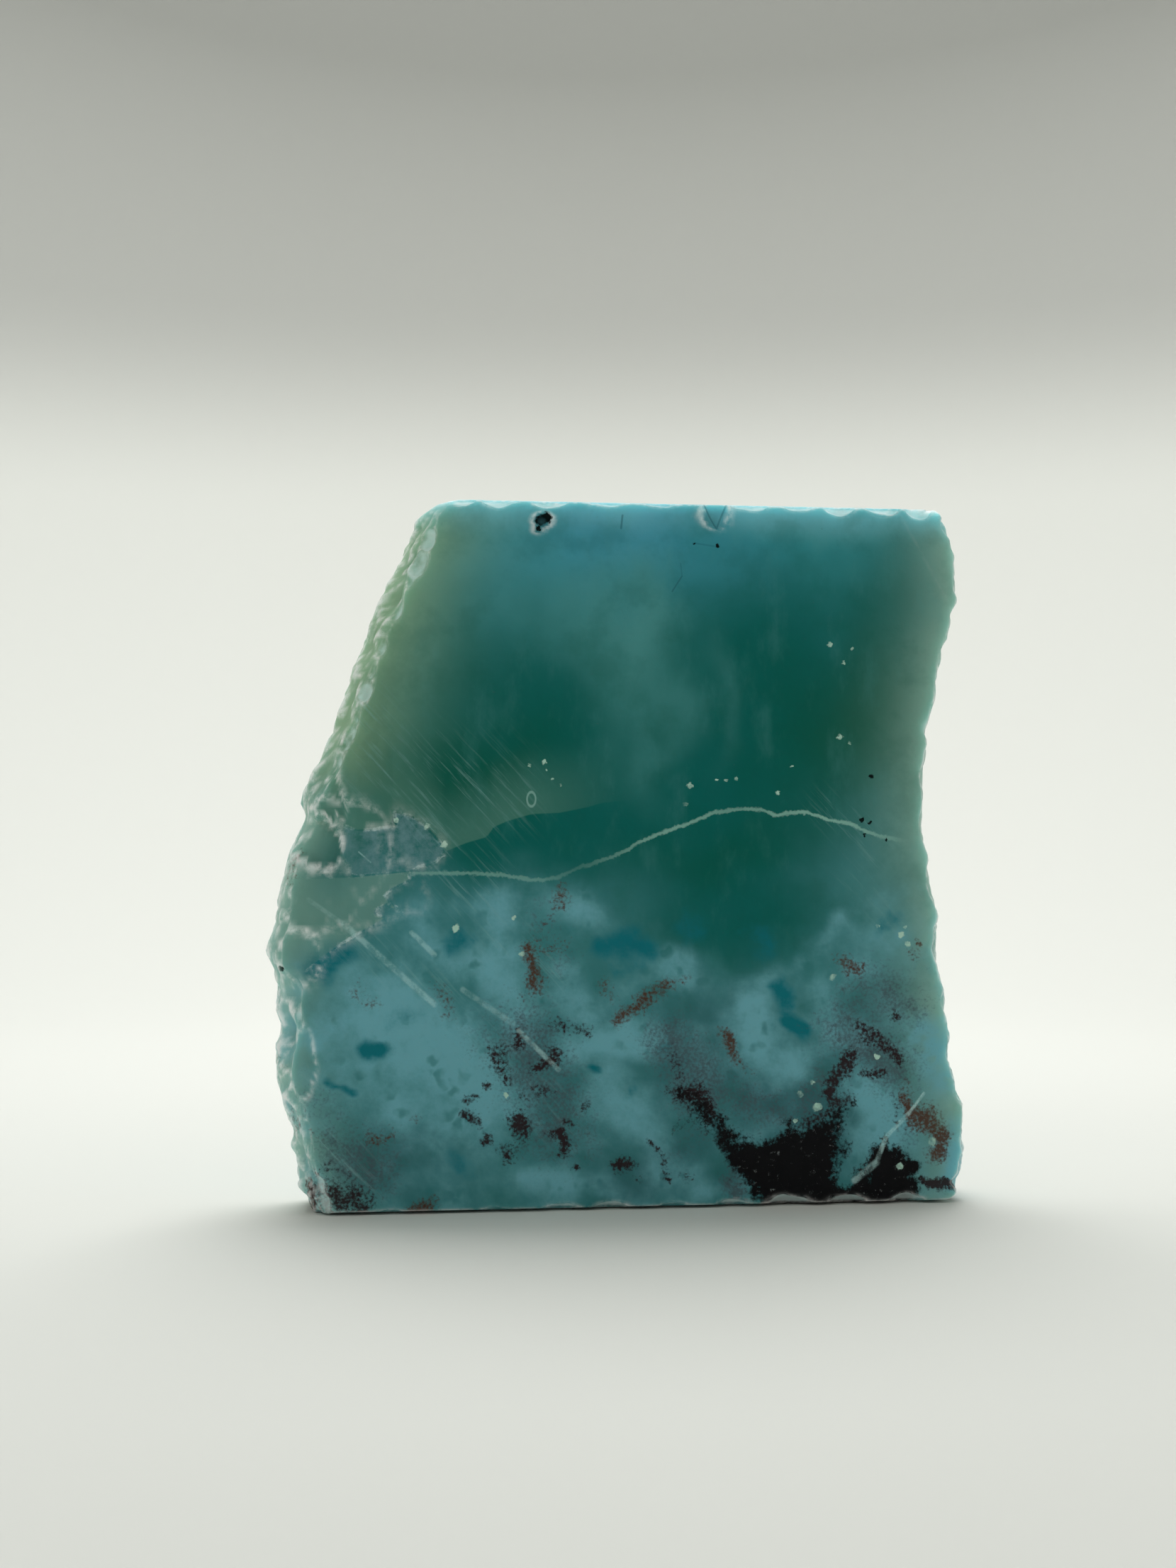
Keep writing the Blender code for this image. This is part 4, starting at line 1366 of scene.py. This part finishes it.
def floor_material(studio):
    """Plain pale paper, with painted shade that makes it a little darker high up on the sweep."""
    material = bpy.data.materials.new("studio paper")
    material.use_nodes = True
    w = Wires(material.node_tree)
    shader = material.node_tree.nodes["Principled BSDF"]
    height = w.node(
        "ShaderNodeSeparateXYZ", {0: w.node("ShaderNodeTexCoord").outputs["Object"]}
    ).outputs[2]
    pale = tuple(studio.floor_colour)
    painted_shade = tuple(0.66 * value for value in pale)
    w.join(shader.inputs["Base Color"], w.mix(w.step(height, SHADE_PAINTED_FROM, SHADE_PAINTED_FULL), pale, painted_shade))
    shader.inputs["Roughness"].default_value = 0.9
    shader.inputs["Specular IOR Level"].default_value = 0.1
    return material


# Painted shade makes the sweep's paper darker above these heights, in metres
SHADE_PAINTED_FROM = 0.098
SHADE_PAINTED_FULL = 0.150

# The sweep: how far the flat floor reaches, the radius of its turn upwards, and its height
FLOOR_REACH = 0.17
SWEEP_TURN = 0.17
SWEEP_HEIGHT = 0.45
SWEEP_SIDES = 128


def sweep_profile():
    """The sweep's profile from its middle outwards: flat floor, a quarter circle, and an upright wall."""
    flat = [(reach, 0.0) for reach in np.linspace(0.0, FLOOR_REACH, 12)]
    angles = np.linspace(0.0, math.pi / 2.0, 25)[1:]
    turn = [
        (FLOOR_REACH + SWEEP_TURN * math.sin(angle), SWEEP_TURN * (1.0 - math.cos(angle)))
        for angle in angles
    ]
    return np.array(flat + turn + [(FLOOR_REACH + SWEEP_TURN, SWEEP_HEIGHT)])


def turned_surface(profile, sides):
    """A profile of (radius, height) turned round the upright axis; its first point is the pole, made once."""
    angle = np.arange(sides) * 2.0 * np.pi / sides
    radius, height = profile[1:, 0, None], profile[1:, 1, None]
    rings = np.stack(
        (radius * np.cos(angle), radius * np.sin(angle), np.broadcast_to(height, (len(radius), sides))),
        axis=-1,
    )
    points = np.concatenate(([(0.0, 0.0, profile[0, 1])], rings.reshape(-1, 3)))
    side = np.arange(sides)
    after = (side + 1) % sides
    faces = [(0, int(a) + 1, int(b) + 1) for a, b in zip(side, after)]
    for ring in range(len(radius) - 1):
        low, high = 1 + ring * sides, 1 + (ring + 1) * sides
        faces += np.stack((low + side, high + side, high + after, low + after), axis=1).tolist()
    return points, faces


def add_mesh_object(name, mesh, material):
    """Links a mesh to the scene as an object at the origin, with one material."""
    mesh.materials.append(material)
    mesh.shade_smooth()
    obj = bpy.data.objects.new(name, mesh)
    bpy.context.scene.collection.objects.link(obj)
    return obj


class LARIMAR_OT_build_slab(bpy.types.Operator):
    """Builds the larimar slab over its frame"""

    bl_idname = "larimar.build_slab"
    bl_label = "Larimar Slab"

    def execute(self, context):
        scene = context.scene
        shape, colours = scene.larimar_shape, scene.larimar_colours
        points, quads, fresh, sharp = slab_mesh(shape)
        mesh = bpy.data.meshes.new("larimar")
        mesh.from_pydata((points * MM).tolist(), [], quads.tolist())
        write_pattern(mesh, points, fresh, sharp, shape, colours)
        if mesh.validate():
            raise RuntimeError("the slab's surface has faulty faces")
        slab = add_mesh_object("larimar", mesh, stone_material(colours))
        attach(slab, BODY)
        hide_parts(NODE)
        return {"FINISHED"}


# The camera: where it stands, how far it is turned from +Y towards +X, and its lens
CAMERA_PLACE = (-0.02257, -0.15569, 0.0253)
CAMERA_TURN = math.radians(7.5)
CAMERA_LENS = 50.0
CAMERA_SENSOR = 36.0

# The lights: place, size and the point that they face
KEY_PLACE = (0.02, 0.13, 0.30)
KEY_SIZE = 0.22
FILL_PLACE = (-0.16, -0.26, 0.22)
FILL_SIZE = 0.20
LIGHT_AIM = (0.0, 0.0, 0.02)
WASH_PLACE = (0.0, 0.06, 0.42)
WASH_SIZE = 0.30
WASH_AIM = (0.0, 0.34, 0.16)


def add_light(name, place, aim, size, power):
    """A square soft light that isn't seen itself."""
    light = bpy.data.lights.new(name, "AREA")
    light.shape = "SQUARE"
    light.size = size
    light.energy = power
    obj = bpy.data.objects.new(name, light)
    obj.location = place
    obj.rotation_euler = (Vector(aim) - Vector(place)).to_track_quat("-Z", "Y").to_euler()
    obj.visible_camera = False
    bpy.context.scene.collection.objects.link(obj)


def add_camera():
    """The photograph's view: level, so that upright edges stay upright, with the horizon moved by the lens shift."""
    camera = bpy.data.cameras.new("camera")
    camera.lens = CAMERA_LENS
    camera.sensor_width = CAMERA_SENSOR
    camera.sensor_fit = "AUTO"
    camera.shift_y = (HORIZON_ROW - PHOTO_HEIGHT / 2.0) / PHOTO_HEIGHT
    camera.clip_start = 0.01
    obj = bpy.data.objects.new("camera", camera)
    obj.location = CAMERA_PLACE
    obj.rotation_euler = (math.pi / 2.0, 0.0, -CAMERA_TURN)
    bpy.context.scene.collection.objects.link(obj)
    bpy.context.scene.camera = obj


def add_room_light(strength):
    """Even light from all round."""
    world = bpy.data.worlds.new("studio")
    world.use_nodes = True
    background = world.node_tree.nodes["Background"]
    background.inputs["Color"].default_value = (0.98, 1.0, 0.97, 1.0)
    background.inputs["Strength"].default_value = strength
    bpy.context.scene.world = world


class LARIMAR_OT_build_stage(bpy.types.Operator):
    """Adds the pale floor and sweep, the soft lights and the camera"""

    bl_idname = "larimar.build_stage"
    bl_label = "Studio"

    def execute(self, context):
        studio = context.scene.larimar_studio
        points, faces = turned_surface(sweep_profile(), SWEEP_SIDES)
        mesh = bpy.data.meshes.new("floor")
        mesh.from_pydata(points.tolist(), [], faces)
        add_mesh_object("floor", mesh, floor_material(studio))
        add_light("key", KEY_PLACE, LIGHT_AIM, KEY_SIZE, studio.key_power)
        add_light("fill", FILL_PLACE, LIGHT_AIM, FILL_SIZE, studio.fill_power)
        add_light("wash", WASH_PLACE, WASH_AIM, WASH_SIZE, studio.wash_power)
        add_room_light(studio.sky_strength)
        add_camera()
        context.scene.view_settings.view_transform = "Standard"
        return {"FINISHED"}


class LARIMAR_PT_sidebar(bpy.types.Panel):
    """Lists the larimar's pieces and the studio"""

    bl_label = "Larimar"
    bl_idname = "LARIMAR_PT_sidebar"
    bl_space_type = "VIEW_3D"
    bl_region_type = "UI"
    bl_category = "Larimar"

    def draw(self, context):
        scene = context.scene
        for operator, group in (
            (LARIMAR_OT_build_slab, scene.larimar_shape),
            (LARIMAR_OT_build_slab, scene.larimar_colours),
            (LARIMAR_OT_build_stage, scene.larimar_studio),
        ):
            box = self.layout.box()
            box.operator(operator.bl_idname)
            for name in type(group).__annotations__:
                box.prop(group, name)


CLASSES = (
    SlabShape,
    StoneColours,
    Studio,
    LARIMAR_OT_build_slab,
    LARIMAR_OT_build_stage,
    LARIMAR_PT_sidebar,
)
SETTINGS = {"larimar_shape": SlabShape, "larimar_colours": StoneColours, "larimar_studio": Studio}


def register():
    for cls in CLASSES:
        bpy.utils.register_class(cls)
    for name, group in SETTINGS.items():
        setattr(bpy.types.Scene, name, bpy.props.PointerProperty(type=group))


def unregister():
    for name in SETTINGS:
        delattr(bpy.types.Scene, name)
    for cls in reversed(CLASSES):
        bpy.utils.unregister_class(cls)


def main():
    register()
    bpy.ops.larimar.build_slab()
    bpy.ops.larimar.build_stage()


if __name__ == "__main__":
    main()
